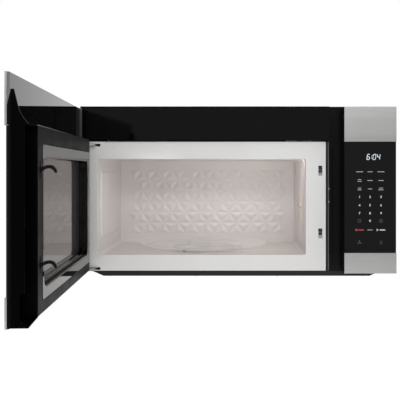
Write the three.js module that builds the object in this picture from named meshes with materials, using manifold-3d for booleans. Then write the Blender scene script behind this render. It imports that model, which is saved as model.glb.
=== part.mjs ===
import * as THREE from 'three';
import { mergeVertices } from 'three/addons/utils/BufferGeometryUtils.js';
import Module from 'manifold-3d';

// Over the range microwave oven, in millimetres. +Z is up, +X is to the right of someone who
// faces it, and the wall is the plane Y = 0, with the oven in front of it at negative Y.
// Heights are counted from the bottom edge of the door. The door stands open, as it is pictured.

const wasm = await Module();
wasm.setup();

// ---- driving sizes -------------------------------------------------------------------------

const seatGap = 0.3;            // clearance between two pieces that touch
const sheet = 0.9;              // formed steel sheet
const plasticWall = 2.4;        // moulded plastic

const bodyWidth = 759;          // outside of the case
const bodyHeight = 400;         // bottom edge of the door to the top of the case
const bodyDepth = 373;          // wall to the face of the white front frame
const wallPlateThick = 1.6;

const doorThick = 43;           // face of the strips to the inner face of the door
const doorStandoff = 4;         // closed door to the front frame
const doorReveal = 4;           // top of the door below the top of the case
const doorOpenAngle = 87;       // degrees from closed, as it stands at rest
const hingeInset = 14;          // hinge axis to the left edge of the door
const hingeSetback = 22;        // hinge axis behind the face of the door
const doorOverhang = 35;        // skin past the inner frame on the free side
const hingeReturn = 11;         // depth of the fold on the hinge side
const stripTop = 83;            // height of the upper stainless strip
const stripBottom = 48.5;       // height of the lower stainless strip
const glassSetback = 2.5;       // glass behind the face of the strips
const glassThick = 3.2;
const innerFrameBottom = 12.5;
const innerFrameRise = 1.5;     // inner frame of the door above the front frame

const panelWidth = 123.5;       // control panel
const panelGap = 1.5;           // door to control panel
const columnWidth = 29;         // black column that the closed door covers
const stripeWidth = 5.5;        // bare edge of the bay partition

const jambLeft = 39.5;          // white frame beside the opening
const jambRight = 48.5;
const headHeight = 41.4;        // white frame over the opening
const sillHeight = 38.6;
const cavityRearGap = 23;       // back wall of the cavity to the wall
const floorDrop = 4;            // cavity floor below the sill
const frameLip = 6;             // fold round the opening of the front frame
const frameReveal = 2.8;        // top of the front frame below the grille

const grilleSetback = 36;       // vent grille behind the face of the door
const ventHeight = 82.7;
const recessWidth = 61;         // recess beside the grille, over the hinge
const recessDepth = 9;

const baseDrop = 12.5;          // bottom pan below the door
const baseInsetTop = 28.5;      // sloping ends of the bottom pan inside the case
const baseInsetBottom = 55.5;

const slotWidth = 9.6;          // latch slots in the front frame
const slotHeight = 24;
const slotInset = 8.3;          // latch slots to the right edge of the front frame
const upperLatchDrop = 70.5;    // centre of the upper slot below the top of the front frame
const lowerLatchRise = 91;
const hookReach = 27;
const hookThick = 2.6;
const hingePlateThick = 2.5;
const hingePlateRight = 24;     // hinge axis to the right edge of the plates
const hingePinRadius = 3;
const pinPlay = 0.35;
const upperHingeDrop = 9.5;     // upper hinge plate below the top of the front frame
const lowerHingeHeight = 4;

const trayMargin = 5;           // tray to the back wall
const trayRim = 8;
const trayThick = 5;
const rollerRadius = 5.5;
const rollerWidth = 6;
const rollerCircle = 95;        // distance of the rollers from the centre
const rollerCount = 3;

const blowerRadius = 46;
const blowerWidth = 62;
const blowerBlades = 16;
const blowerSetback = 92;       // blower axis in front of the wall
const blowerDrop = 65;          // blower axis below the top of the case
const blowerMotorRadius = 38;
const blowerMotorLength = 78;
const scrollRadius = 52;        // tightest radius of the scroll housings
const scrollGrowth = 8;

const ductWidth = 254;          // exhaust collar
const ductDepth = 82.5;
const collarHeight = 22;
const collarFlange = 12;

const filterWidth = 196;        // grease filters
const filterDepth = 126;
const filterThick = 6;
const filterMargin = 36;        // filters to the foot of the sloping ends
const filterSetback = 110;      // filter centres in front of the wall
const lampWidth = 150;          // cooktop lamp cover
const lampDepth = 62;
const lampSetback = 318;

const fanRadius = 50;
const fanBlades = 5;

// ---- sizes that follow -----------------------------------------------------------------------

const halfWidth = bodyWidth / 2;
const doorHeight = bodyHeight - doorReveal;
const grilleBottom = bodyHeight - ventHeight;
const frameHeight = grilleBottom - frameReveal;
const innerFrameTop = frameHeight + innerFrameRise;
const frameFace = -bodyDepth;
const doorFace = frameFace - doorStandoff - doorThick;
const panelLeft = halfWidth - panelWidth;
const doorLeft = -halfWidth;
const doorRight = panelLeft - panelGap;
const hingeX = doorLeft + hingeInset;
const hingeY = doorFace + hingeSetback;
const frameRight = panelLeft - columnWidth - stripeWidth - 4;
const columnLeft = panelLeft - columnWidth;
const cavityLeft = -halfWidth + jambLeft;
const cavityRight = frameRight - jambRight;
const cavityWidth = cavityRight - cavityLeft;
const cavityMiddle = (cavityLeft + cavityRight) / 2;
const cavityTop = frameHeight - headHeight;
const floorHeight = sillHeight - floorDrop;
const cavityFront = frameFace + frameLip + seatGap;
const cavityBack = -cavityRearGap;
const trayY = (frameFace + cavityBack) / 2;
const trayRadius = (cavityBack - frameFace) / 2 - trayMargin;
const caseFront = frameFace + sheet + seatGap;
const rearFace = -(wallPlateThick + seatGap);
const caseBack = rearFace - sheet - seatGap;
const baseBottom = -baseDrop;
const panTop = baseBottom + sheet;
const baseHalfTop = halfWidth - baseInsetTop;
const baseHalfBottom = halfWidth - baseInsetBottom;
const filterSpread = baseHalfBottom - filterMargin - filterWidth / 2;
const latchHeights = [frameHeight - upperLatchDrop, lowerLatchRise];
const upperHingeHeight = frameHeight - upperHingeDrop;
const blowerHeight = bodyHeight - blowerDrop;
const slotX = frameRight - slotInset - slotWidth / 2;
const glassFace = doorFace + glassSetback;
const glassBack = glassFace + glassThick;
const wallFaceHeight = bodyHeight / 2;
const collarFront = -blowerSetback - scrollRadius - scrollGrowth;
const collarRear = collarFront + ductDepth;

// ---- shapes ----------------------------------------------------------------------------------

function rectangle(x0, y0, x1, y1, radius = 0) {
  const shape = new THREE.Shape();
  if (radius === 0) {
    shape.moveTo(x0, y0);
    shape.lineTo(x1, y0);
    shape.lineTo(x1, y1);
    shape.lineTo(x0, y1);
    shape.closePath();
    return shape;
  }
  shape.absarc(x1 - radius, y0 + radius, radius, -Math.PI / 2, 0);
  shape.absarc(x1 - radius, y1 - radius, radius, 0, Math.PI / 2);
  shape.absarc(x0 + radius, y1 - radius, radius, Math.PI / 2, Math.PI);
  shape.absarc(x0 + radius, y0 + radius, radius, Math.PI, Math.PI * 1.5);
  shape.closePath();
  return shape;
}

function outline(points) {
  return new THREE.Shape(points.map(([x, y]) => new THREE.Vector2(x, y)));
}

function holed(shape, ...holes) {
  shape.holes.push(...holes);
  return shape;
}

function extrude(shape, length, curveSegments = 2) {
  return new THREE.ExtrudeGeometry(shape, { depth: length, bevelEnabled: false, curveSegments });
}

// A shape drawn in XZ, running along Y from y0 to y1.
function alongY(shape, y0, y1, curveSegments) {
  const geometry = extrude(shape, y1 - y0, curveSegments);
  geometry.rotateX(Math.PI / 2);
  return geometry.translate(0, y1, 0);
}

// A shape drawn in XY, running up from z0 to z1.
function alongZ(shape, z0, z1, curveSegments) {
  return extrude(shape, z1 - z0, curveSegments).translate(0, 0, z0);
}

// A shape drawn in YZ, running along X from x0 to x1.
function alongX(shape, x0, x1, curveSegments) {
  const geometry = extrude(shape, x1 - x0, curveSegments);
  const cycle = new THREE.Matrix4().set(0, 0, 1, 0, 1, 0, 0, 0, 0, 1, 0, 0, 0, 0, 0, 1);
  return geometry.applyMatrix4(cycle).translate(x0, 0, 0);
}

function block(x0, x1, y0, y1, z0, z1) {
  const geometry = new THREE.BoxGeometry(x1 - x0, y1 - y0, z1 - z0);
  return geometry.translate((x0 + x1) / 2, (y0 + y1) / 2, (z0 + z1) / 2);
}

function rodX(radius, x0, x1, y, z, sides = 16) {
  const geometry = new THREE.CylinderGeometry(radius, radius, x1 - x0, sides);
  return geometry.rotateZ(Math.PI / 2).translate((x0 + x1) / 2, y, z);
}

function rodY(radius, y0, y1, x, z, sides = 16) {
  const geometry = new THREE.CylinderGeometry(radius, radius, y1 - y0, sides);
  return geometry.translate(x, (y0 + y1) / 2, z);
}

function rodZ(radius, z0, z1, x, y, sides = 16) {
  const geometry = new THREE.CylinderGeometry(radius, radius, z1 - z0, sides);
  return geometry.rotateX(Math.PI / 2).translate(x, y, (z0 + z1) / 2);
}

// ---- joining and cutting -----------------------------------------------------------------------

function toSolid(geometry) {
  const bare = geometry.clone();
  bare.deleteAttribute('normal');
  bare.deleteAttribute('uv');
  const welded = mergeVertices(bare, 1e-4);
  const mesh = new wasm.Mesh({
    numProp: 3,
    vertProperties: Float32Array.from(welded.attributes.position.array),
    triVerts: Uint32Array.from(welded.index.array),
  });
  return new wasm.Manifold(mesh);
}

function toGeometry(solid) {
  const mesh = solid.getMesh();
  const geometry = new THREE.BufferGeometry();
  geometry.setAttribute('position', new THREE.BufferAttribute(mesh.vertProperties, 3));
  geometry.setIndex(new THREE.BufferAttribute(mesh.triVerts, 1));
  geometry.computeVertexNormals();
  return geometry;
}

function join(...geometries) {
  const [first, ...rest] = geometries.map(toSolid);
  return toGeometry(rest.reduce((sum, solid) => sum.add(solid), first));
}

function cut(geometry, ...tools) {
  return toGeometry(tools.map(toSolid).reduce((left, tool) => left.subtract(tool), toSolid(geometry)));
}

function copies(count, make) {
  return Array.from({ length: count }, (_, index) => make(index));
}

// ---- finishes ----------------------------------------------------------------------------------

function finish(color, roughness, metalness = 0) {
  return () => new THREE.MeshStandardMaterial({ color, roughness, metalness });
}

const stainless = finish(0xa9a9a8, 0.34, 1);
const galvanised = finish(0x9ea2a3, 0.5, 1);
const whiteEnamel = finish(0xd7d2cf, 0.35);
const blackPaint = finish(0x121212, 0.45);
const glossBlack = finish(0x0c0c0d, 0.08);
const blackGlass = finish(0x151516, 0.05);
const blackPlastic = finish(0x17171a, 0.4);
const greyPlastic = finish(0x8d8f90, 0.55);
const clearGlass = finish(0xc9d6d2, 0.04);
const aluminium = finish(0xb8babb, 0.45, 1);
const copper = finish(0xa5622f, 0.4, 1);
const brass = finish(0xb59a56, 0.35, 1);
const mica = finish(0xb9ab8d, 0.6);
const boardGreen = finish(0x2c5a3b, 0.55);
const charcoal = finish(0x26282a, 0.8);

// ---- case --------------------------------------------------------------------------------------

const hookTabSpread = 200;      // wall plate tabs from the middle
const hookTabWidth = 30;
const hookTabHeight = 22;
const hookTabReach = 6;

function wallMountingPlate() {
  const margin = 6;
  const bar = 46;
  const middleBar = 60;
  const left = -halfWidth + margin;
  const top = bodyHeight - margin;
  const window = (x0, x1) => rectangle(x0, margin + bar, x1, top - bar, 12);
  const plate = alongY(holed(rectangle(left, margin, -left, top, 4),
    window(left + bar, -middleBar), window(middleBar, -left - bar)), -wallPlateThick, 0);
  const tabs = [-hookTabSpread, hookTabSpread].flatMap((x) => {
    const x0 = x - hookTabWidth / 2;
    const x1 = x + hookTabWidth / 2;
    const lipBack = -hookTabReach + wallPlateThick;
    return [
      block(x0, x1, -hookTabReach, -wallPlateThick / 2, hookTabHeight, hookTabHeight + wallPlateThick),
      block(x0, x1, -hookTabReach, lipBack, hookTabHeight, hookTabHeight + 9),
    ];
  });
  const screwHoles = [-1, 1].flatMap((side) => [0.3, 0.7].map((share) =>
    rodY(3.2, -5, 5, side * (halfWidth - margin - bar / 2), bodyHeight * share, 12)));
  return cut(join(plate, ...tabs), ...screwHoles);
}

function rearPanel() {
  const inset = sheet + seatGap;
  const y0 = rearFace - sheet;
  const panel = block(-halfWidth + inset, halfWidth - inset, y0, rearFace, seatGap, bodyHeight - inset);
  const tabSlots = [-hookTabSpread, hookTabSpread].map((x) => block(x - hookTabWidth / 2 - 2,
    x + hookTabWidth / 2 + 2, y0 - 5, rearFace + 5, hookTabHeight - 3, hookTabHeight + 12));
  const slotRight = halfWidth - 50;
  const airSlots = copies(7, (row) => {
    const low = rearVentLow + row * ventPitch;
    return block(slotRight - 100, slotRight, y0 - 5, rearFace + 5, low, low + ventOpening);
  });
  return cut(panel, ...tabSlots, ...airSlots);
}

const boltInset = 90;           // holes for the two bolts from the cabinet above
const boltSetback = 250;
const boltRadius = 5;
const sideVentLow = 120;        // lowest of the air slots in the right side
const rearVentLow = 150;        // lowest of the air slots in the rear panel
const ventPitch = 13;
const ventOpening = 4;

function caseWrap() {
  const flange = 12;
  const inner = halfWidth - sheet;
  const section = outline([
    [-halfWidth, 0], [-halfWidth, bodyHeight], [halfWidth, bodyHeight], [halfWidth, 0],
    [halfWidth - flange, 0], [halfWidth - flange, sheet], [inner, sheet],
    [inner, bodyHeight - sheet], [-inner, bodyHeight - sheet], [-inner, sheet],
    [-halfWidth + flange, sheet], [-halfWidth + flange, 0],
  ]);
  const wrap = alongY(section, caseFront, caseBack);
  const margin = collarFlange + seatGap;
  const duct = block(-ductWidth / 2 - margin, ductWidth / 2 + margin, collarFront - margin,
    collarRear + margin, bodyHeight - 5, bodyHeight + 5);
  const boltX = halfWidth - boltInset;
  const boltHoles = [-boltX, boltX].map((x) =>
    rodZ(boltRadius, bodyHeight - 5, bodyHeight + 5, x, -boltSetback));
  const sideVents = copies(8, (row) => {
    const low = sideVentLow + row * ventPitch;
    return block(halfWidth - 5, halfWidth + 5, -150, -70, low, low + ventOpening);
  });
  return cut(wrap, duct, ...boltHoles, ...sideVents);
}

const filterLip = 6;            // rim of the pan that each filter sits in

function filterOpening(side) {
  const lip = filterLip;
  const x = side * filterSpread;
  return block(x - filterWidth / 2 + lip, x + filterWidth / 2 - lip,
    -filterSetback - filterDepth / 2 + lip, -filterSetback + filterDepth / 2 - lip,
    baseBottom - 5, panTop + 5);
}

function basePan() {
  const inner = sheet * 1.1;
  const edge = halfWidth - sheet - seatGap;
  const section = outline([
    [-edge, -sheet], [-baseHalfTop, -sheet], [-baseHalfBottom, baseBottom],
    [baseHalfBottom, baseBottom], [baseHalfTop, -sheet], [edge, -sheet], [edge, -seatGap],
    [baseHalfTop - inner, -seatGap], [baseHalfBottom - inner, panTop],
    [-baseHalfBottom + inner, panTop], [-baseHalfTop + inner, -seatGap], [-edge, -seatGap],
  ]);
  const pan = alongY(section, caseFront, caseBack);
  const frontWall = alongY(outline([
    [-baseHalfTop + inner, -seatGap], [-baseHalfBottom, baseBottom],
    [baseHalfBottom, baseBottom], [baseHalfTop - inner, -seatGap],
  ]), caseFront, caseFront + sheet);
  const lampHole = block(-lampWidth / 2, lampWidth / 2, -lampSetback - lampDepth / 2,
    -lampSetback + lampDepth / 2, baseBottom - 5, panTop + 5);
  const slotPitch = 9;
  const slotLeft = baseHalfBottom - 84;
  const airSlots = copies(9, (index) => {
    const x = slotLeft + index * slotPitch;
    return block(x, x + ventOpening, -330, -240, baseBottom - 5, panTop + 5);
  });
  return cut(join(pan, frontWall), filterOpening(-1), filterOpening(1), lampHole, ...airSlots);
}

// ---- oven cavity -----------------------------------------------------------------------------------

function frontFrame() {
  const left = -halfWidth + sheet + seatGap;
  const opening = rectangle(cavityLeft, sillHeight, cavityRight, cavityTop, 5);
  const slots = latchHeights.map((z) => rectangle(slotX - slotWidth / 2, z - slotHeight / 2,
    slotX + slotWidth / 2, z + slotHeight / 2));
  const hingeSlot = (z) => rectangle(left + 4, z - 2, hingeX + hingePlateRight + 9.5,
    z + hingePlateThick + 2);
  const face = alongY(holed(rectangle(left, 0.4, frameRight, frameHeight), opening, ...slots,
    hingeSlot(upperHingeHeight), hingeSlot(lowerHingeHeight)), frameFace, frameFace + sheet);
  const lip = alongY(holed(rectangle(cavityLeft - sheet, sillHeight - sheet, cavityRight + sheet,
    cavityTop + sheet, 6), opening), frameFace + sheet / 2, frameFace + frameLip);
  return join(face, lip);
}

const mouthHeight = sillHeight + 79;     // waveguide mouth in the right wall
const mouthSize = [86, 62];     // along the wall, and up
const mouthMiddle = trayY;

function cavityLiner() {
  const wall = sheet;
  const outer = rectangle(cavityLeft - wall, floorHeight - wall, cavityRight + wall, cavityTop + wall, 9);
  const inner = rectangle(cavityLeft, floorHeight, cavityRight, cavityTop, 8);
  const tube = alongY(holed(outer, inner), cavityFront, cavityBack, 4);
  const panelRise = 2.2;
  const panelShape = rectangle(cavityFront + 42, sillHeight + 34, cavityBack - 46, cavityTop - 30, 14);
  const raised = new THREE.ExtrudeGeometry(panelShape, {
    depth: wall, bevelEnabled: true, bevelThickness: panelRise, bevelSize: panelRise * 2,
    bevelOffset: -panelRise * 2, bevelSegments: 1, curveSegments: 3,
  });
  const cycle = new THREE.Matrix4().set(0, 0, 1, 0, 1, 0, 0, 0, 0, 1, 0, 0, 0, 0, 0, 1);
  raised.applyMatrix4(cycle).translate(cavityLeft - wall, 0, 0);
  const outside = block(cavityLeft - 20, cavityLeft - wall / 2, cavityFront, cavityBack,
    floorHeight, cavityTop);
  const shaftHole = rodZ(9, floorHeight - 5, floorHeight + 5, cavityMiddle, trayY, 20);
  const mouth = block(cavityRight - 5, cavityRight + 5, mouthMiddle - mouthSize[0] / 2,
    mouthMiddle + mouthSize[0] / 2, mouthHeight, mouthHeight + mouthSize[1]);
  const lampHoles = copies(9, (index) => rodX(3, cavityRight - 5, cavityRight + 5,
    cavityBack - 60 + (index % 3) * 9, cavityTop - 40 + Math.floor(index / 3) * 9, 6));
  const exhaustHoles = copies(12, (index) => rodZ(3, cavityTop - 5, cavityTop + 5,
    cavityLeft + 60 + (index % 6) * 10, cavityBack - 60 + Math.floor(index / 6) * 10, 6));
  return cut(join(tube, cut(raised, outside)), shaftHole, mouth, ...lampHoles, ...exhaustHoles);
}

const facetPitch = 42.5;
const facetRowPitch = 31;
const facetRise = 2.4;
const facetSink = 0.2;          // foot of the facets below the face of the wall
const facetMargin = 22;         // field of facets inside the back wall

// The back wall carries rows of low three sided pyramids, pressed into the sheet. They point up
// and down in turn, so that their feet meet in a lattice of grooves.
function cavityBackWall() {
  const height = cavityTop - floorHeight;
  const rows = Math.round((height - facetMargin * 2) / facetRowPitch);
  const columns = Math.round((cavityWidth - facetMargin * 2) / facetPitch);
  const plateFront = cavityBack + seatGap;
  const plate = alongY(rectangle(cavityLeft - sheet, floorHeight - sheet, cavityRight + sheet,
    cavityTop + sheet, 9), plateFront, plateFront + sheet);
  const fieldFoot = (floorHeight + cavityTop - rows * facetRowPitch) / 2;
  const radius = facetPitch / Math.sqrt(3);
  const facets = copies(rows, (row) => copies(columns * 2 - 1, (index) => {
    const pointsUp = (row + index) % 2 === 0;
    const facet = new THREE.ConeGeometry(radius, facetRise + facetSink, 3, 1).rotateX(Math.PI);
    facet.rotateY(pointsUp ? Math.PI : 0).scale(1, 1, facetRowPitch / (radius * 1.5));
    return facet.translate(cavityMiddle + (index - columns + 1) * facetPitch / 2,
      plateFront + (facetSink - facetRise) / 2,
      fieldFoot + (row + (pointsUp ? 1 : 2) / 3) * facetRowPitch);
  })).flat();
  const hollows = facets.map((facet) => facet.clone().translate(0, sheet, 0));
  return cut(join(plate, ...facets), ...hollows);
}

const partitionDepth = 40;

function bayPartition() {
  const left = frameRight + 2;
  const flange = block(left, left + stripeWidth, frameFace, frameFace + sheet, 1, frameHeight - 1);
  const web = block(left, left + sheet, frameFace, frameFace + partitionDepth, 1, frameHeight - 1);
  return join(flange, web);
}

const bayFloorHeight = 16;      // top of the shelf for the transformer, over the filters
const bayLeft = cavityRight + sheet * 2;
const bayFloorTop = bayFloorHeight + sheet;

function bayFloor() {
  const right = halfWidth - sheet - seatGap;
  const front = frameFace + partitionDepth + 2;
  const back = caseBack - 5;
  const legRight = baseHalfBottom - 5;
  const legFoot = panTop + seatGap;
  return join(block(bayLeft, right, front, back, bayFloorHeight, bayFloorTop),
    block(bayLeft, legRight, front, front + sheet, legFoot, bayFloorTop),
    block(bayLeft, legRight, back - sheet, back, legFoot, bayFloorTop));
}

function turntableMotor() {
  const top = floorHeight - sheet - seatGap;
  const can = rodZ(24, top - 16, top - 1.5, cavityMiddle, trayY, 28);
  const ears = alongZ(rectangle(cavityMiddle - 33, trayY - 7, cavityMiddle + 33, trayY + 7, 6),
    top - 1.6, top);
  const connector = block(cavityMiddle - 9, cavityMiddle + 9, trayY + 20, trayY + 33, top - 14, top - 4);
  return join(can, ears, connector);
}

const couplerHeight = floorHeight - sheet - seatGap;

function turntableCoupler() {
  const shaft = rodZ(3.5, couplerHeight + seatGap, floorHeight + 6, 0, 0, 16);
  const hub = rodZ(8, floorHeight + 2, trayBottom - seatGap, 0, 0, 24);
  const lobes = copies(3, (index) => {
    const lobe = rodZ(4.5, floorHeight + 4, trayBottom - seatGap, 11, 0, 16);
    const arm = block(0, 11, -2, 2, floorHeight + 4, trayBottom - seatGap);
    return join(lobe, arm).rotateZ(index * Math.PI * 2 / 3);
  });
  return join(shaft, hub, ...lobes);
}

const trayBottom = floorHeight + seatGap + rollerRadius * 2 + seatGap;

function turntableTray() {
  const lip = 9;
  const rimTop = trayBottom + trayRim;
  const profile = [
    [0, trayBottom], [trayRadius - lip, trayBottom], [trayRadius, rimTop - 1.5],
    [trayRadius, rimTop], [trayRadius - 3, rimTop], [trayRadius - lip - 2, trayBottom + trayThick],
    [0, trayBottom + trayThick],
  ].map(([r, z]) => new THREE.Vector2(r, z));
  return new THREE.LatheGeometry(profile, 36).rotateX(Math.PI / 2);
}

const axleHeight = floorHeight + seatGap + rollerRadius;

function rollerRing() {
  const bandHalf = 3;
  const bandThick = 2;
  const inner = rollerCircle - rollerWidth - 9;
  const band = (radius) => {
    const ring = new THREE.Shape().absarc(0, 0, radius + bandHalf, 0, Math.PI * 2);
    return alongZ(holed(ring, new THREE.Path().absarc(0, 0, radius - bandHalf, 0, Math.PI * 2)),
      axleHeight - bandThick, axleHeight + bandThick, 12);
  };
  const axles = copies(rollerCount, (index) =>
    rodX(1.6, inner, rollerCircle + rollerWidth / 2 + 1.5, 0, 0, 8)
      .translate(0, 0, axleHeight).rotateZ(index * Math.PI * 2 / rollerCount));
  const collars = copies(rollerCount, (index) => {
    const inside = rodX(2.6, inner, rollerCircle - rollerWidth / 2 - 0.4, 0, 0, 8);
    const outside = rollerCircle + rollerWidth / 2 + 0.4;
    return join(inside, rodX(2.6, outside, outside + 1.4, 0, 0, 8))
      .translate(0, 0, axleHeight).rotateZ(index * Math.PI * 2 / rollerCount);
  });
  const centre = band(22);
  const spokes = copies(rollerCount, (index) =>
    block(22, inner, -bandHalf, bandHalf, axleHeight - bandThick, axleHeight + bandThick)
      .rotateZ(index * Math.PI * 2 / rollerCount));
  return join(band(inner), centre, ...spokes, ...axles, ...collars);
}

function roller() {
  const bore = 1.6 + seatGap;
  const half = rollerWidth / 2;
  const profile = [
    [bore, -half], [rollerRadius - 0.8, -half], [rollerRadius, -half + 0.8],
    [rollerRadius, half - 0.8], [rollerRadius - 0.8, half], [bore, half], [bore, -half],
  ].map(([r, z]) => new THREE.Vector2(r, z));
  return new THREE.LatheGeometry(profile, 16).rotateZ(-Math.PI / 2);
}

// ---- vent grille and control panel --------------------------------------------------------------------

const grilleFace = doorFace + grilleSetback;
const grilleLeft = -halfWidth + seatGap;
const grilleRight = columnLeft - 2;

function ventGrille() {
  const back = frameFace + sheet;
  const wall = plasticWall;
  const shell = block(grilleLeft, grilleRight, grilleFace, back, grilleBottom, bodyHeight - seatGap);
  const hollow = block(grilleLeft + recessWidth + wall, grilleRight - wall, grilleFace + wall, back + 5,
    grilleBottom + wall, bodyHeight - seatGap - wall);
  const recess = block(grilleLeft - 5, grilleLeft + recessWidth, grilleFace - 5,
    grilleFace + recessDepth, grilleBottom - 5, bodyHeight - seatGap - wall);
  const louvreLength = 44;
  const louvrePitch = 54;
  const louvres = copies(9, (column) => copies(2, (row) => {
    const x = grilleLeft + recessWidth + 30 + column * louvrePitch;
    const y = grilleFace + 6 + row * 8;
    return block(x, x + louvreLength, y, y + 3.6, bodyHeight - wall - 5, bodyHeight + 5);
  })).flat();
  return cut(shell, hollow, recess, ...louvres);
}

const displaySize = [36, 16];
const displayX = panelLeft + 70;
const displayZ = doorHeight - 116;
const displayBox = [displayX - displaySize[0] / 2, displayX + displaySize[0] / 2,
  displayZ - displaySize[1] / 2, displayZ + displaySize[1] / 2];

const bossLength = 14;          // posts that carry the circuit board
const bossLow = 40;
const bossDrop = 75;

function controlHousing() {
  const wall = plasticWall;
  const face = glassBack + seatGap;
  const right = halfWidth - seatGap;
  const back = frameFace - seatGap;
  const top = doorHeight - 1;
  const bottom = 1;
  const tray = block(panelLeft, right, face, back, bottom, top);
  const hollow = block(panelLeft + wall, right - wall, face + wall, back + 5, bottom + wall, top - wall);
  const [x0, x1, z0, z1] = displayBox;
  const window = block(x0 - seatGap, x1 + seatGap, face - 5, face + wall + 1, z0 - seatGap, z1 + seatGap);
  const column = block(columnLeft - wall / 2, panelLeft + wall, back - wall, back, bottom, bodyHeight - 1);
  const rib = block(columnLeft + 6, columnLeft + 6 + wall, back - wall - 6, back - wall / 2,
    bottom + 20, frameHeight - 15);
  const bosses = [panelLeft + 14, right - 11].flatMap((x) => [bossLow, top - bossDrop].map((z) =>
    rodY(4, face + wall / 2, face + bossLength, x, z, 12)));
  return join(cut(tray, hollow, window), column, rib, ...bosses);
}

// A stainless strip with folded top or bottom, and folded ends.
function foldedStrip({ left, right, bottom, top, leftFold, rightFold, edgeFold, foldAtTop }) {
  const skin = 1;
  const face = block(left, right, doorFace, doorFace + skin, bottom, top);
  const leftEnd = block(left, left + skin, doorFace, doorFace + leftFold, bottom, top);
  const rightEnd = block(right - skin, right, doorFace, doorFace + rightFold, bottom, top);
  const foldZ = foldAtTop ? top - skin : bottom;
  const fold = block(left, right, doorFace, doorFace + edgeFold, foldZ, foldZ + skin);
  return join(face, leftEnd, rightEnd, fold);
}

const panelFold = glassSetback + glassThick;

function controlStrip(isTop) {
  return foldedStrip({
    left: panelLeft, right: halfWidth, bottom: isTop ? doorHeight - stripTop : 0,
    top: isTop ? doorHeight : stripBottom, leftFold: panelFold, rightFold: panelFold,
    edgeFold: panelFold, foldAtTop: isTop,
  });
}

function controlGlass() {
  return alongY(rectangle(panelLeft + 0.4, stripBottom + seatGap, halfWidth - 0.4,
    doorHeight - stripTop - seatGap, 0.8), glassFace, glassBack);
}

function clockDisplay() {
  const [x0, x1, z0, z1] = displayBox;
  const front = glassBack + seatGap;
  return join(block(x0, x1, front, front + 8, z0, z1),
    block(x0 - 4, x1 + 4, front + 4, front + 8, z0 - 3, z1 + 3));
}

function controlBoard() {
  const front = glassBack + seatGap + bossLength + seatGap;
  const left = panelLeft + 8;
  const low = 26;
  const high = doorHeight - 62;
  const piece = (x, z, wide, tall, deep) => block(left + x, left + x + wide, front + 1,
    front + deep, z, z + tall);
  const board = alongY(rectangle(left, low, halfWidth - 5.5, high, 3), front, front + 1.6);
  const relays = copies(3, (index) => piece(6 + index * 26, low + 34, 20, 16, 17));
  const supply = piece(8, low + 94, 34, 36, 30);
  const chip = piece(46, low + 164, 26, 26, 4);
  const plug = piece(6, high - 42, 60, 12, 12);
  return join(board, ...relays, supply, chip, plug);
}

// ---- door ----------------------------------------------------------------------------------------------

const railLeft = hingeX - 6;    // thin rail on the hinge side, which carries the pins
const railThick = 6;            // rail behind the hinge axis
const innerFrameLeft = hingeX + 58;
const innerFrameRight = doorRight - doorOverhang;
const innerFace = doorFace + doorThick;
const doorBack = glassBack + seatGap;    // outer face of the moulded frame
const panelThick = 2.6;
const panelLeftInset = 5;       // inner panel inside the edge of the frame, on each side
const panelRightInset = 30;
const panelTopInset = 28;
const panelBottomInset = 18.5;
const windowLeft = innerFrameLeft + 35;
const windowRight = innerFrameRight - 45;
const windowBottom = innerFrameBottom + 46.5;
const windowTop = innerFrameTop - 52;
const windowRadius = 12;
const skirtThick = 2;           // moulded wall round the window
const skirtStep = 5;            // rim inside that wall
const screenSetback = 15;         // screen in front of the inner panel, towards the glass
const screenThick = 1.5;
const chokeInset = 2;            // hollow ring under the inner panel, inside its edges
const endCapThick = 3;          // cap on the free end of the door
const endCapReach = 30;
const endFootReach = 22;        // depth of the cap near its foot
const endFootHeight = 54;
const shelfReach = 36;          // depth of the shelves that tie the cap to the inner frame
const shelfThick = 2.4;
const finDrop = 27;             // apex of the fin on the cap, below the top of the door
const finBase = 52;             // foot of its sloping edges
const stripFold = 3.4;          // folded edge of the door's steel strips

function doorStrip(isTop) {
  return foldedStrip({
    left: doorLeft, right: doorRight, bottom: isTop ? doorHeight - stripTop : 0,
    top: isTop ? doorHeight : stripBottom, leftFold: hingeReturn, rightFold: stripFold,
    edgeFold: stripFold, foldAtTop: isTop,
  });
}

function doorGlass() {
  return alongY(rectangle(doorLeft + 0.4, stripBottom + seatGap, doorRight - 0.4,
    doorHeight - stripTop - seatGap, 0.8), glassFace, glassBack);
}

function doorPinBore(z0, z1) {
  return rodZ(hingePinRadius + pinPlay, z0, z1, hingeX, hingeY, 20);
}

// Room for the upper hinge plate to turn in.
function hingeNotch() {
  return block(railLeft - 5, hingeX + hingePlateRight + 2, hingeY - 12, innerFace + 5,
    upperHingeHeight - 3, upperHingeHeight + hingePlateThick + 2);
}

// The window outline, grown by a margin on every side.
function windowOutline(margin) {
  return rectangle(windowLeft - margin, windowBottom - margin, windowRight + margin,
    windowTop + margin, windowRadius + margin);
}

function innerPanelOutline(margin) {
  return rectangle(innerFrameLeft + panelLeftInset - margin, innerFrameBottom + panelBottomInset - margin,
    innerFrameRight - panelRightInset + margin, innerFrameTop - panelTopInset + margin, 8);
}

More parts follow.
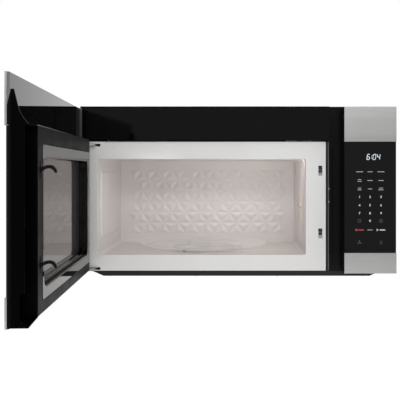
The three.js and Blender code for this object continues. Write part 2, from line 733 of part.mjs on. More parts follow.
// The free end of the door: a cap that rises to a fin, and a shelf at each end of the inner
// frame that runs out to it.
function doorEnd() {
  const right = doorRight - 0.4;
  const foot = 1.5;
  const shape = new THREE.Shape();
  shape.moveTo(doorBack, foot);
  shape.lineTo(doorFace + shelfReach, foot);
  shape.lineTo(doorFace + shelfReach, foot + shelfThick);
  shape.lineTo(doorFace + endFootReach, innerFrameBottom + shelfThick);
  shape.lineTo(doorFace + endFootReach, endFootHeight);
  shape.lineTo(doorFace + endCapReach, endFootHeight);
  shape.lineTo(doorFace + endCapReach, innerFrameTop - shelfThick);
  shape.lineTo(doorFace + shelfReach, innerFrameTop - shelfThick);
  shape.lineTo(doorFace + shelfReach, innerFrameTop);
  shape.quadraticCurveTo(doorFace + 24, innerFrameTop + 12, doorFace + 20, doorHeight - finBase);
  shape.lineTo(doorFace + 14, doorHeight - finDrop);
  shape.lineTo(doorFace + 9, doorHeight - finDrop);
  shape.lineTo(doorBack, doorHeight - finDrop - 11);
  shape.closePath();
  const cap = alongX(shape, right - endCapThick, right, 5);
  const start = innerFrameRight - 3;
  const lowerShelf = alongY(outline([
    [start, innerFrameBottom], [right, foot], [right, foot + shelfThick],
    [start, innerFrameBottom + shelfThick],
  ]), doorBack, innerFace);
  const upperShelf = block(start, right, doorBack, innerFace, innerFrameTop - shelfThick, innerFrameTop);
  const taper = alongZ(outline([
    [innerFrameRight, innerFace], [doorRight, doorFace + shelfReach], [doorRight, innerFace + 5],
    [innerFrameRight, innerFace + 5],
  ]), -5, doorHeight);
  return join(cap, cut(join(lowerShelf, upperShelf), taper));
}

// The moulding fills the steel strip, and comes out level with its folded edge behind it.
function stripPad(low, high) {
  const core = block(doorLeft + 1.5, doorRight - 1.3, doorFace + 1.3, doorBack + 1, low + 1.3, high - 1.3);
  const lip = block(doorLeft + 1.5, doorRight - 0.4, doorFace + stripFold + seatGap, doorBack + 1,
    low + 0.6, high - 0.6);
  return join(core, lip);
}

function doorFrame() {
  const back = doorBack;
  const skirtRoom = skirtThick + seatGap;
  const ringShape = rectangle(innerFrameLeft, innerFrameBottom, innerFrameRight, innerFrameTop, 1.5);
  const ring = alongY(ringShape, back, innerFace);
  const rail = block(railLeft, innerFrameLeft + 5, back, hingeY + railThick, innerFrameBottom, innerFrameTop);
  const backing = alongY(rectangle(doorLeft + 1.5, 1.5, doorRight - 0.4, doorHeight - 1.5, 2),
    back, back + plasticWall);
  const windowCut = alongY(windowOutline(skirtRoom), back - 5, innerFace + 5, 3);
  const panelSeat = alongY(innerPanelOutline(seatGap), innerFace - panelThick - seatGap, innerFace + 5);
  const choke = alongY(holed(innerPanelOutline(-chokeInset), windowOutline(skirtRoom + chokeInset)),
    back + plasticWall, innerFace + 5, 3);
  const latchPocket = latchHeights.map((z) => block(slotX - 3, slotX + 3, innerFace - 22,
    innerFace + 5, z - 13, z + 15));
  const pads = [stripPad(0, stripBottom), stripPad(doorHeight - stripTop, doorHeight)];
  return cut(join(ring, rail, backing, doorEnd(), ...pads), windowCut, panelSeat, choke, hingeNotch(),
    doorPinBore(innerFrameBottom - 5, innerFrameBottom + 14),
    doorPinBore(upperHingeHeight, innerFrameTop - 2), ...latchPocket, latchChannel());
}

function latchChannel() {
  return block(slotX - 3.6, slotX + 3.6, innerFace - 22, innerFace - 13, latchHeights[1] - 24,
    latchHeights[0] + 24);
}

function doorScreen() {
  const rear = innerFace - panelThick - screenSetback;
  return alongY(windowOutline(-seatGap), rear - screenThick, rear, 3);
}

// The glossy panel round the window, with a wall down to the screen and a rim that holds it.
function doorInnerPanel() {
  const back = innerFace - panelThick;
  const seat = back - screenSetback - screenThick - seatGap;
  const plate = alongY(holed(innerPanelOutline(0), windowOutline(0)), back, innerFace, 3);
  const wall = alongY(holed(windowOutline(skirtThick), windowOutline(0)), seat - skirtThick, back + 1, 3);
  const rim = alongY(holed(windowOutline(skirtThick), windowOutline(-skirtStep)),
    seat - skirtThick, seat, 3);
  return join(plate, wall, rim);
}

// A goose neck: it rises from its root, bends over and ends in a tip that points down.
function hookShape(root, z) {
  const neck = innerFace + hookReach / 2;
  const tip = innerFace + hookReach;
  const crown = z + 8.8;
  const shape = new THREE.Shape();
  shape.moveTo(root, z - 8);
  shape.lineTo(innerFace, z - 5.5);
  shape.quadraticCurveTo(innerFace + 6, z + 3, neck + 1.5, z + 3.4);
  shape.quadraticCurveTo(tip - 7, z + 3, tip - 3, z - 4.5);
  shape.lineTo(tip + 0.5, z - 3);
  shape.quadraticCurveTo(tip - 2.5, crown, neck + 2.5, crown);
  shape.quadraticCurveTo(innerFace + 8, crown, innerFace + 4, z + 5.4);
  shape.lineTo(innerFace, z + 5.2);
  shape.lineTo(root, z + 8);
  shape.closePath();
  return shape;
}

// One sprung bar behind the inner panel carries both hooks.
function doorLatch() {
  const barBack = innerFace - 14;
  const half = hookThick / 2;
  const hook = (z) => alongX(hookShape(barBack - 6, z), slotX - half, slotX + half, 4);
  const bar = block(slotX - half, slotX + half, barBack - 6, barBack - 1, latchHeights[1] - 12,
    latchHeights[0] + 12);
  return join(bar, ...latchHeights.map(hook));
}

function springCoil() {
  const wire = 0.6;
  const coilRadius = 2.6;
  const turns = 6;
  const length = 10;
  class Helix extends THREE.Curve {
    getPoint(t) {
      const angle = t * turns * Math.PI * 2;
      return new THREE.Vector3(coilRadius * Math.cos(angle), coilRadius * Math.sin(angle), t * length);
    }
  }
  const section = new THREE.Shape().absarc(0, 0, wire, 0, Math.PI * 2);
  return new THREE.ExtrudeGeometry(section, {
    steps: turns * 8, extrudePath: new Helix(), curveSegments: 2, bevelEnabled: false,
  });
}

// ---- hinges ---------------------------------------------------------------------------------------------

function hingePlate(z, pinTop) {
  const left = hingeX - 5;
  const right = hingeX + hingePlateRight;
  const nose = 7;
  const back = frameFace + sheet + seatGap;
  const foot = 16;
  const plan = new THREE.Shape();
  plan.moveTo(right, back);
  plan.lineTo(right, hingeY + 2);
  plan.lineTo(hingeX + 5, hingeY - nose);
  plan.lineTo(hingeX - 4, hingeY - nose);
  plan.lineTo(left, hingeY - 2);
  plan.lineTo(left, back);
  plan.closePath();
  const leaf = alongZ(plan, z, z + hingePlateThick);
  const footUp = z > frameHeight / 2 ? -1 : 1;
  const footZ = z + (footUp < 0 ? hingePlateThick - foot : 0);
  const mount = block(left, right, back, back + hingePlateThick, footZ, footZ + foot);
  const pin = rodZ(hingePinRadius, z + hingePlateThick / 2, pinTop, hingeX, hingeY, 20);
  return join(leaf, mount, pin);
}

function hingeBush() {
  const z0 = lowerHingeHeight + hingePlateThick + seatGap;
  const z1 = innerFrameBottom - seatGap;
  const radius = hingePinRadius;
  const profile = [
    [radius + pinPlay, z0], [radius + 3, z0], [radius + 3, z1], [radius + pinPlay, z1],
    [radius + pinPlay, z0],
  ].map(([r, z]) => new THREE.Vector2(r, z));
  return new THREE.LatheGeometry(profile, 24).rotateX(Math.PI / 2).translate(hingeX, hingeY, 0);
}

// ---- latch board and switches -----------------------------------------------------------------------------

const boardBack = frameFace + sheet + seatGap;
const boardDepth = 44;
const boardLeft = slotX + slotWidth / 2 + 1;

function latchBoard() {
  const left = boardLeft;
  const low = latchHeights[1] - 30;
  const high = latchHeights[0] + 26;
  const web = block(left, left + plasticWall, boardBack, boardBack + boardDepth, low, high);
  const flange = block(left - 3, left + plasticWall, boardBack, boardBack + plasticWall, low, high);
  const rampTop = -5.2;
  const ramps = latchHeights.map((z) => alongX(outline([
    [boardBack + 7, z - 16], [boardBack + 40, z - 16], [boardBack + 40, z - 13], [boardBack + 24, z - 13],
    [boardBack + 24, z + rampTop], [boardBack + 13.5, z + rampTop], [boardBack + 7, z - 12.5],
  ]), slotX - slotWidth / 2, left + 1));
  const pocketCuts = latchHeights.map((z) => block(slotX - slotWidth / 2 - 5, slotX + slotWidth / 2,
    boardBack - 1, boardBack + 12, z - slotHeight / 2, z + slotHeight / 2));
  return join(cut(join(web, flange), ...pocketCuts), ...ramps);
}

const switchSize = [6.4, 16, 28];   // thickness, height and depth
const plungerReach = 3.2;
const switchFront = frameFace + hookReach - doorStandoff + 1.3 + plungerReach;

function interlockSwitch(z) {
  const [thick, high, deep] = switchSize;
  const x0 = boardLeft - seatGap - thick;
  const y0 = switchFront;
  const bodyZ = z - 11;
  const caseBlock = block(x0, x0 + thick, y0, y0 + deep, bodyZ, bodyZ + high);
  const terminals = copies(3, (index) => block(x0 + thick / 2 - 0.4, x0 + thick / 2 + 0.4,
    y0 + deep - 1, y0 + deep + 7, bodyZ + 2 + index * 5, bodyZ + 4.5 + index * 5));
  const bore = block(x0 + thick / 2 - 1.8, x0 + thick / 2 + 1.8, y0 - 5, y0 + 6,
    bodyZ + high / 2 - 1.8, bodyZ + high / 2 + 1.8);
  return cut(join(caseBlock, ...terminals), bore);
}

function switchPlunger(z) {
  const [thick, high] = switchSize;
  const x = boardLeft - seatGap - thick / 2;
  const middle = z - 11 + high / 2;
  return block(x - 1.5, x + 1.5, switchFront - plungerReach, switchFront + 3.4, middle - 1.5, middle + 1.5);
}

// ---- heating and cooling parts in the right bay -------------------------------------------------------------

const guideWidth = 27;
const guideTop = cavityTop + 57;
const magnetronHeight = guideTop - 50;
const guideHalf = mouthSize[0] / 2 + 2;

function waveguide() {
  const left = cavityRight + sheet + seatGap;
  const right = left + guideWidth;
  const y0 = mouthMiddle - guideHalf;
  const y1 = mouthMiddle + guideHalf;
  const z0 = mouthHeight - 3;
  const body = alongY(outline([
    [left, z0], [right - 12, z0], [right, z0 + 22], [right, guideTop], [left, guideTop],
  ]), y0, y1);
  const inside = alongY(outline([
    [left + sheet, z0 + sheet], [right - 13, z0 + sheet], [right - sheet, z0 + 23],
    [right - sheet, guideTop - sheet], [left + sheet, guideTop - sheet],
  ]), y0 + sheet, y1 - sheet);
  const mouth = block(left - 5, left + 5, y0 + sheet, y1 - sheet, mouthHeight, mouthHeight + mouthSize[1]);
  const antennaHole = rodX(15, right - 5, right + 5, mouthMiddle, magnetronHeight, 24);
  return cut(body, inside, mouth, antennaHole);
}

function waveguideCover() {
  const margin = 7;
  return alongX(rectangle(mouthMiddle - mouthSize[0] / 2 - margin, mouthHeight - margin,
    mouthMiddle + mouthSize[0] / 2 + margin, mouthHeight + mouthSize[1] + margin, 4),
  cavityRight - seatGap - 0.6, cavityRight - seatGap);
}

function magnetron() {
  const left = cavityRight + sheet + seatGap + guideWidth + seatGap;
  const wide = 42;
  const yoke = 50;
  const core = rodX(18, left, left + 52, mouthMiddle, magnetronHeight, 12);
  const antenna = rodX(8, left - 16, left + 2, mouthMiddle, magnetronHeight, 20);
  const skirt = rodX(13, left - guideWidth / 6, left + 2, mouthMiddle, magnetronHeight, 20);
  const plates = [0, yoke].map((offset) => block(left + offset, left + offset + 2.5,
    mouthMiddle - wide, mouthMiddle + wide, magnetronHeight - 38, magnetronHeight + 38));
  const fins = copies(6, (index) => block(left + 8 + index * 6.5, left + 9 + index * 6.5,
    mouthMiddle - wide + 4, mouthMiddle + wide - 4, magnetronHeight - 34, magnetronHeight + 34));
  const sides = [-1, 1].map((side) => block(left, left + yoke + 2.5, mouthMiddle - wide,
    mouthMiddle + wide, magnetronHeight + side * 36 - 1.5, magnetronHeight + side * 36 + 1.5));
  const filterBox = block(left + yoke, left + yoke + 28, mouthMiddle - 26, mouthMiddle + 26,
    magnetronHeight - 24, magnetronHeight + 24);
  return join(core, antenna, skirt, ...plates, ...fins, ...sides, filterBox);
}

function transformer() {
  const x0 = halfWidth - 143.5;
  const y0 = -150;
  const z0 = bayFloorTop + seatGap;
  const stackWide = 56;
  const stackDeep = 88;
  const stackHigh = 72;
  const foot = 3;
  const overhang = 13;
  const stack = block(x0, x0 + stackWide, y0, y0 + stackDeep, z0 + foot, z0 + foot + stackHigh);
  const windows = [0.12, 0.6].map((share) => block(x0 - 5, x0 + stackWide + 5, y0 + 16,
    y0 + stackDeep - 16, z0 + foot + stackHigh * share, z0 + foot + stackHigh * (share + 0.28)));
  const coil = (share) => alongX(rectangle(y0 + 15, z0 + foot + stackHigh * share - 1,
    y0 + stackDeep - 15, z0 + foot + stackHigh * (share + 0.28) + 1, 6),
  x0 - overhang, x0 + stackWide + overhang);
  const feet = block(x0 - 8, x0 + stackWide + 8, y0 - 6, y0 + stackDeep + 6, z0, z0 + foot + 0.5);
  return join(cut(stack, ...windows), coil(0.12), coil(0.6), feet);
}

const capacitorX = halfWidth - 73.5;
const capacitorY = -262;
const capacitorRadius = 19;
const diodeRadius = 3.2;

function capacitor() {
  const x = capacitorX;
  const y = capacitorY;
  const z0 = bayFloorTop + seatGap;
  const section = new THREE.Shape();
  section.absarc(x - 14, y, capacitorRadius, Math.PI / 2, Math.PI * 1.5);
  section.absarc(x + 14, y, capacitorRadius, -Math.PI / 2, Math.PI / 2);
  section.closePath();
  const can = alongZ(section, z0, z0 + 92, 8);
  const posts = [-12, 12].map((dx) => rodZ(4, z0 + 91, z0 + 97, x + dx, y, 12));
  const blades = [-12, 12].map((dx) => block(x + dx - 0.6, x + dx + 0.6, y - 3.2, y + 3.2, z0 + 96, z0 + 106));
  return join(can, ...posts, ...blades);
}

function diode() {
  const x = capacitorX;
  const y = capacitorY + capacitorRadius + seatGap + diodeRadius;
  const z = bayFloorTop + seatGap + 60;
  const stud = rodX(diodeRadius, x - 12, x + 12, y, z, 14);
  const leads = rodX(0.8, x - 24, x + 24, y, z, 8);
  const lug = block(x + 22, x + 30, y - 2.5, y + 3, z - 3, z + 3);
  return join(stud, leads, lug);
}

const fanX = halfWidth - 79.5;
const fanHeight = 205;
const fanMotorFront = -52;

function coolingFanMotor() {
  const y1 = caseBack - seatGap;
  const stack = block(fanX - 22, fanX + 22, fanMotorFront, fanMotorFront + 20, fanHeight - 26, fanHeight + 30);
  const bobbin = block(fanX - 16, fanX + 16, fanMotorFront - 4, fanMotorFront + 24, fanHeight + 12,
    fanHeight + 26);
  const bell = rodY(11, fanMotorFront - bellRise, y1 - 6, fanX, fanHeight - 4, 18);
  const bracket = block(fanX - 46, fanX + 46, y1 - 7, y1, fanHeight - 10, fanHeight + 10);
  return join(stack, bobbin, bell, bracket);
}

const fanStandoff = 8;          // hub of the fan in front of the motor's core
const bellRise = 6;             // motor's front bell in front of its core
const fanShaftEnd = fanStandoff - bellRise - seatGap;

function coolingFan() {
  const hubFront = -22;
  const hub = join(rodY(12, hubFront, -2, 0, 0, 20), rodY(3, -3, fanShaftEnd, 0, 0, 12));
  const blade = (index) => {
    const plate = block(6, fanRadius, -10, -8.6, -13, 13);
    plate.translate(0, 9.3, 0).rotateX(0.55).translate(0, -11, 0);
    return plate.rotateY(index * Math.PI * 2 / fanBlades);
  };
  return join(hub, ...copies(fanBlades, blade));
}

// ---- ventilation blower ---------------------------------------------------------------------------------------

function blowerMotor() {
  const half = blowerMotorLength / 2;
  const y = -blowerSetback;
  const can = rodX(blowerMotorRadius, -half + 6, half - 6, y, blowerHeight, 24);
  const caps = rodX(20, -half, half, y, blowerHeight, 24);
  const boreX = rodX(4 + seatGap, -half - 5, half + 5, y, blowerHeight, 16);
  const footTop = cavityTop + sheet + seatGap;
  const foot = block(-24, 24, y - 22, y + 22, footTop, blowerHeight - blowerMotorRadius + 4);
  return cut(join(can, caps, foot), boreX);
}

const blowerInner = blowerMotorLength / 2 + 5;

function blowerWheel(side) {
  const thick = 1.6;
  const x0 = blowerInner + 5;
  const x1 = x0 + blowerWidth;
  const bladeRoot = blowerRadius - 11;
  const disc = rodX(blowerRadius, x0, x0 + thick, 0, 0, 20);
  const rimShape = holed(new THREE.Shape().absarc(0, 0, blowerRadius, 0, Math.PI * 2),
    new THREE.Path().absarc(0, 0, blowerRadius - 2.4, 0, Math.PI * 2));
  const rim = alongX(rimShape, x1 - 5, x1, 10);
  const bladeShape = new THREE.Shape();
  bladeShape.moveTo(bladeRoot, 0);
  bladeShape.quadraticCurveTo(bladeRoot + 7, 0, blowerRadius - 0.8, 7);
  bladeShape.lineTo(blowerRadius - 2, 7.8);
  bladeShape.quadraticCurveTo(bladeRoot + 6.4, 1.2, bladeRoot, 1.2);
  bladeShape.closePath();
  const blades = copies(blowerBlades, (index) =>
    alongX(bladeShape, x0 + thick / 2, x1 - 1, 2).rotateX(index * Math.PI * 2 / blowerBlades));
  const hub = rodX(9, x0 - 3, x0 + 18, 0, 0, 18);
  const wheel = join(disc, rim, hub, ...blades);
  const shaftRadius = 4;
  const shaft = rodX(shaftRadius, -blowerInner - 3, x0 + 4, 0, 0, 16);
  if (side > 0) return join(wheel, shaft);
  const left = cut(wheel, rodX(shaftRadius + seatGap, -blowerInner * 2, x0 + 9, 0, 0, 16));
  return left.rotateY(Math.PI);
}

// A volute that opens upwards into the exhaust collar. The spiral starts at the tongue and
// grows towards the front, where it runs straight up.
function voluteShape(offset, top) {
  const steps = 28;
  const start = Math.PI / 3;
  const sweep = start + Math.PI;
  const shape = new THREE.Shape();
  shape.moveTo(collarRear - offset, top);
  for (let step = 0; step <= steps; step += 1) {
    const share = step / steps;
    const angle = start - share * sweep;
    const radius = scrollRadius + scrollGrowth * share - offset;
    shape.lineTo(-blowerSetback + Math.cos(angle) * radius, blowerHeight + Math.sin(angle) * radius);
  }
  shape.lineTo(collarFront + offset, top);
  shape.closePath();
  return shape;
}

function mirroredSpan(side, near, far) {
  return side > 0 ? [near, far] : [-far, -near];
}

function blowerHousing(side) {
  const wall = sheet;
  const depth = blowerWidth + 10;
  const top = bodyHeight - sheet - seatGap;
  const [x0, x1] = mirroredSpan(side, blowerInner, blowerInner + depth);
  const shell = alongX(voluteShape(0, top), x0, x1);
  const hollow = alongX(voluteShape(wall, top + 5), x0 + wall, x1 - wall);
  const [inletFrom, inletTo] = mirroredSpan(side, blowerInner + depth - 5, blowerInner + depth + 5);
  const [shaftFrom, shaftTo] = mirroredSpan(side, blowerInner - 5, blowerInner + 5);
  const inlet = rodX(blowerRadius - 12, inletFrom, inletTo, -blowerSetback, blowerHeight, 32);
  const shaftHole = rodX(13, shaftFrom, shaftTo, -blowerSetback, blowerHeight, 24);
  return cut(shell, hollow, inlet, shaftHole);
}

const damperAxisY = collarRear - 5;
const damperAxisZ = bodyHeight + 7;
const damperPinRadius = 1.8;

function exhaustAdaptor() {
  const flange = collarFlange;
  const base = bodyHeight - sheet;
  const plate = alongZ(rectangle(-ductWidth / 2 - flange, collarFront - flange,
    ductWidth / 2 + flange, collarRear + flange, 4), base, bodyHeight);
  const collar = block(-ductWidth / 2, ductWidth / 2, collarFront, collarRear, base, base + collarHeight);
  const inside = block(-ductWidth / 2 + sheet, ductWidth / 2 - sheet, collarFront + sheet,
    collarRear - sheet, base - 5, base + collarHeight + 5);
  const pinHoles = rodX(damperPinRadius + seatGap, -ductWidth / 2 - 5, ductWidth / 2 + 5,
    damperAxisY, damperAxisZ, 14);
  const stop = block(-ductWidth / 2 + sheet / 2, -ductWidth / 2 + 5, collarFront + 4, collarRear - 22,
    base, damperAxisZ - 2.6);
  return join(cut(join(plate, collar), inside, pinHoles), stop);
}

// Drawn with its pins on the X axis; the flap reaches towards the front.
function exhaustDamper() {
  const half = ductWidth / 2 - sheet - 1;
  const reach = damperAxisY - collarFront - sheet - 2;
  const flap = block(-half, half, -reach, 0, -0.6, 0.6);
  const stiffener = block(-half + 8, half - 8, -reach + 14, -reach + 18, -0.3, 3);
  const pins = rodX(damperPinRadius, -ductWidth / 2 + 0.2, ductWidth / 2 - 0.2, 0, 0, 14);
  return join(flap, stiffener, pins);
}

// ---- filters and lamps -------------------------------------------------------------------------------------------

const filterSeat = baseBottom + 0.6;

// Layers of expanded metal in a folded rim; the layers are one ribbed pad here.
function greaseFilter() {
  const rim = 7;
  const w = filterWidth / 2 - filterLip - 0.4;
  const d = filterDepth / 2 - filterLip - 0.4;
  const frame = alongZ(holed(rectangle(-w, -d, w, d, 3),
    rectangle(-w + rim, -d + rim, w - rim, d - rim, 2)), 0, filterThick);
  const pad = block(-w + rim / 2, w - rim / 2, -d + rim / 2, d - rim / 2, 1.8, filterThick - 1.8);
  const ribCount = 9;
  const ribs = copies(ribCount, (index) => {
    const x = -w + rim + (index + 0.5) * (2 * w - 2 * rim) / ribCount;
    return block(x - 1.6, x + 1.6, -d + rim - 0.5, d - rim + 0.5, 0.8, filterThick - 0.8);
  });
  const pull = block(-9, 9, -d + 2, -d + 4, -4, 2);
  return join(frame, pad, ...ribs, pull);
}

function charcoalFilter() {
  const low = cavityTop + sheet + seatGap;
  const lean = 34;
  const frontY = frameFace + 10;
  const thick = 14;
  const high = bodyHeight - sheet - 6;
  return alongX(outline([
    [frontY, low], [frontY + thick, low], [frontY + thick + lean, high], [frontY + lean, high],
  ]), -halfWidth * 0.45, halfWidth * 0.32);
}

const coverGap = 0.6;           // lamp cover to the rim of its opening
const hingeRelief = 4;          // extra room behind the cover, for its rear edge to turn in
const knuckleInset = 3;         // hinge line to the rear edge of the cover
const coverDepth = lampDepth - hingeRelief;
const coverHingeY = -lampSetback - lampDepth / 2 + coverGap + coverDepth - knuckleInset;
const coverHingeZ = panTop + 1;

// Drawn with its hinge line on the X axis; the cover reaches towards the front.
function lampCover() {
  const w = lampWidth / 2 - coverGap;
  const front = knuckleInset - coverDepth;
  const plate = alongZ(rectangle(-w, front, w, knuckleInset, 3), -4, -1);
  const ribPitch = 14;
  const ribs = copies(9, (index) => block((index - 4) * ribPitch - 1.5, (index - 4) * ribPitch + 1.5,
    front + 8, knuckleInset - 8, -4.8, -3.5));
  const knuckles = [-1, 1].map((side) => rodX(2, side * (w - 12) - 6, side * (w - 12) + 6, 0, 0, 12));
  return join(plate, ...ribs, ...knuckles);
}

const bulbRadius = 11.5;

// The profile is drawn for a radius and a height of one.
function bulb(height) {
  const profile = [
    [0, 0], [0.5, 0.01], [0.65, 0.18], [0.74, 0.27], [0.91, 0.42], [1, 0.6], [0.92, 0.77],
    [0.65, 0.91], [0.31, 0.98], [0, 1],
  ].map(([r, z]) => new THREE.Vector2(r * bulbRadius, z * height));
  return new THREE.LatheGeometry(profile, 14);
}

// A lamp holder with its bulb lying along X, over the cover in the bottom pan.
function cooktopLamp() {
  const z = panTop + 20;
  const y = -lampSetback;
  const holder = rodX(10.5, -62, -38, y, z, 20);
  const foot = block(-64, -38, y - 12, y + 12, panTop + 6, z);
  const bracket = block(-76 - 12, -50, y - 12, y + 12, panTop + 6, panTop + 7.2);
  const leg = block(-88, -86.8, y - 12, y + 12, panTop + seatGap, panTop + 7);
  const glass = bulb(40).rotateZ(-Math.PI / 2).translate(-40, y, z);
  return join(holder, foot, bracket, leg, glass);
}

function cavityLamp() {
  const x = cavityRight + sheet + seatGap;
  const y = cavityBack - 46;
  const z = cavityTop - 31;
  const plate = alongX(holed(rectangle(y - 24, z - 20, y + 24, z + 20, 3),
    rectangle(y - 16, z - 13, y + 17, z + 13, 4)), x, x + sheet);
  const socket = rodX(9, x + 34, x + 54, y, z, 18);
  const arm = block(x + 0.4, x + 44, y - 5, y + 5, z - 18.5, z - 16.5);
  const riser = block(x + 38, x + 46, y - 5, y + 5, z - 18, z - 4);
  const glass = bulb(30).rotateZ(Math.PI / 2).translate(x + 35, y, z);
  return join(plate, arm, riser, socket, glass);
}

// ---- assembly ------------------------------------------------------------------------------------------------------

const oven = new THREE.Group();
const fixed = new THREE.Group();
fixed.position.z = -wallFaceHeight;
oven.add(fixed);

// Pieces of the door are drawn closed, then turned with the door about the hinge axis.
const doorTurn = new THREE.Group();
doorTurn.position.set(hingeX, hingeY, 0);
doorTurn.rotation.z = -THREE.MathUtils.degToRad(doorOpenAngle);
const door = new THREE.Group();
door.position.set(-hingeX, -hingeY, 0);
doorTurn.add(door);
fixed.add(doorTurn);

function place(name, geometry, material, { parent = fixed, at = [0, 0, 0], turn = [0, 0, 0] } = {}) {
  const mesh = new THREE.Mesh(geometry, material());
  mesh.name = name;
  mesh.position.set(...at);
  mesh.rotation.set(...turn);
  parent.add(mesh);
}

place('wall_mounting_plate', wallMountingPlate(), galvanised);
place('rear_panel', rearPanel(), galvanised);
place('case_wrap', caseWrap(), blackPaint);
place('base_pan', basePan(), blackPaint);
place('front_frame', frontFrame(), whiteEnamel);
place('cavity_liner', cavityLiner(), whiteEnamel);
place('cavity_back_wall', cavityBackWall(), whiteEnamel);
place('bay_partition', bayPartition(), galvanised);
place('waveguide_cover', waveguideCover(), mica);
place('bay_floor', bayFloor(), galvanised);

place('vent_grille', ventGrille(), glossBlack);
place('control_housing', controlHousing(), glossBlack);
place('control_top_strip', controlStrip(true), stainless);
place('control_bottom_strip', controlStrip(false), stainless);
place('control_glass', controlGlass(), blackGlass);
place('clock_display', clockDisplay(), blackPlastic);
place('control_board', controlBoard(), boardGreen);

place('hinge_plate_upper', hingePlate(upperHingeHeight, innerFrameTop - 3), galvanised);
place('hinge_plate_lower', hingePlate(lowerHingeHeight, innerFrameBottom + 12), galvanised);
place('hinge_bush', hingeBush(), greyPlastic);

place('door_top_strip', doorStrip(true), stainless, { parent: door });
place('door_bottom_strip', doorStrip(false), stainless, { parent: door });
place('door_glass', doorGlass(), blackGlass, { parent: door });
place('door_frame', doorFrame(), blackPlastic, { parent: door });
place('door_screen', doorScreen(), blackPaint, { parent: door });
place('door_inner_panel', doorInnerPanel(), glossBlack, { parent: door });
place('door_latch', doorLatch(), blackPlastic, { parent: door });
place('latch_spring', springCoil(), galvanised,
  { parent: door, at: [slotX, innerFace - 17.5, latchHeights[0] + 12 + 1] });

place('latch_board', latchBoard(), greyPlastic);
latchHeights.forEach((z, index) => {
  const level = index === 0 ? 'upper' : 'lower';
  place(`interlock_switch_${level}`, interlockSwitch(z), greyPlastic);
  place(`switch_plunger_${level}`, switchPlunger(z), charcoal);
});

place('turntable_motor', turntableMotor(), galvanised);
const turntableCentre = [cavityMiddle, trayY, 0];
place('turntable_coupler', turntableCoupler(), greyPlastic, { at: turntableCentre });
place('turntable_tray', turntableTray(), clearGlass, { at: turntableCentre });
place('roller_ring', rollerRing(), greyPlastic, { at: turntableCentre });
copies(rollerCount, (index) => {
  const angle = index * Math.PI * 2 / rollerCount;
  place(`roller_${index + 1}`, roller(), greyPlastic, {
    at: [cavityMiddle + Math.cos(angle) * rollerCircle, trayY + Math.sin(angle) * rollerCircle, axleHeight],
    turn: [0, 0, angle],
  });
});

place('waveguide', waveguide(), galvanised);
place('magnetron', magnetron(), aluminium);
place('transformer', transformer(), copper);
place('capacitor', capacitor(), aluminium);
place('diode', diode(), charcoal);
place('cooling_fan_motor', coolingFanMotor(), galvanised);
place('cooling_fan', coolingFan(), greyPlastic, { at: [fanX, fanMotorFront - fanStandoff, fanHeight - 4] });
place('cavity_lamp', cavityLamp(), brass);

place('blower_motor', blowerMotor(), galvanised);
place('blower_housing_left', blowerHousing(-1), galvanised);
place('blower_housing_right', blowerHousing(1), galvanised);
place('blower_wheel_left', blowerWheel(-1), greyPlastic, { at: [0, -blowerSetback, blowerHeight] });
place('blower_wheel_right', blowerWheel(1), greyPlastic, { at: [0, -blowerSetback, blowerHeight] });
place('exhaust_adaptor', exhaustAdaptor(), galvanised);
place('exhaust_damper', exhaustDamper(), galvanised, { at: [0, damperAxisY, damperAxisZ] });

place('grease_filter_left', greaseFilter(), aluminium, { at: [-filterSpread, -filterSetback, filterSeat] });
place('grease_filter_right', greaseFilter(), aluminium, { at: [filterSpread, -filterSetback, filterSeat] });
place('charcoal_filter', charcoalFilter(), charcoal);
place('lamp_cover', lampCover(), clearGlass, { at: [0, coverHingeY, coverHingeZ] });
place('cooktop_lamp', cooktopLamp(), brass);

export default oven;
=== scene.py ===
import math
import bmesh
import bpy
from mathutils import Matrix, Vector


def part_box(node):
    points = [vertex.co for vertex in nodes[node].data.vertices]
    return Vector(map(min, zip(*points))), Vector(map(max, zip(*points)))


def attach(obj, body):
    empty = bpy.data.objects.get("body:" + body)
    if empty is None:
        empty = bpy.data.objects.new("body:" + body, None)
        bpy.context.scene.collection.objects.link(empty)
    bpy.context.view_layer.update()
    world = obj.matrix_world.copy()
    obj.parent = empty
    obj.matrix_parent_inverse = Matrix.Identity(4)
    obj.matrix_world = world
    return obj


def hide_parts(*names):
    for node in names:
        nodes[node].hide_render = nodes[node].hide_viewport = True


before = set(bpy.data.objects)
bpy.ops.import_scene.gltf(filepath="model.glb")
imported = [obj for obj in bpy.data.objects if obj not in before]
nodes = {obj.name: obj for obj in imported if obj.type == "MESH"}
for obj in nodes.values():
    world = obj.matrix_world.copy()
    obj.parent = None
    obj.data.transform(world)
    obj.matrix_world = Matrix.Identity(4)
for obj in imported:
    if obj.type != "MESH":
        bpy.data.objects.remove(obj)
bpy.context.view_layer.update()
print("frame loaded:", len(nodes), "pieces")

# the open door: its angle from closed, its hinge axis and the outer face in front of that axis
doorPlace = {"angle": 87, "hinge": (-0.3655, -0.398), "setback": 0.022}


def grey(value, tint=(1.0, 1.0, 1.0)):
    return (value * tint[0], value * tint[1], value * tint[2], 1.0)


def linked(name, data):
    made = bpy.data.objects.new(name, data)
    bpy.context.scene.collection.objects.link(made)
    return made


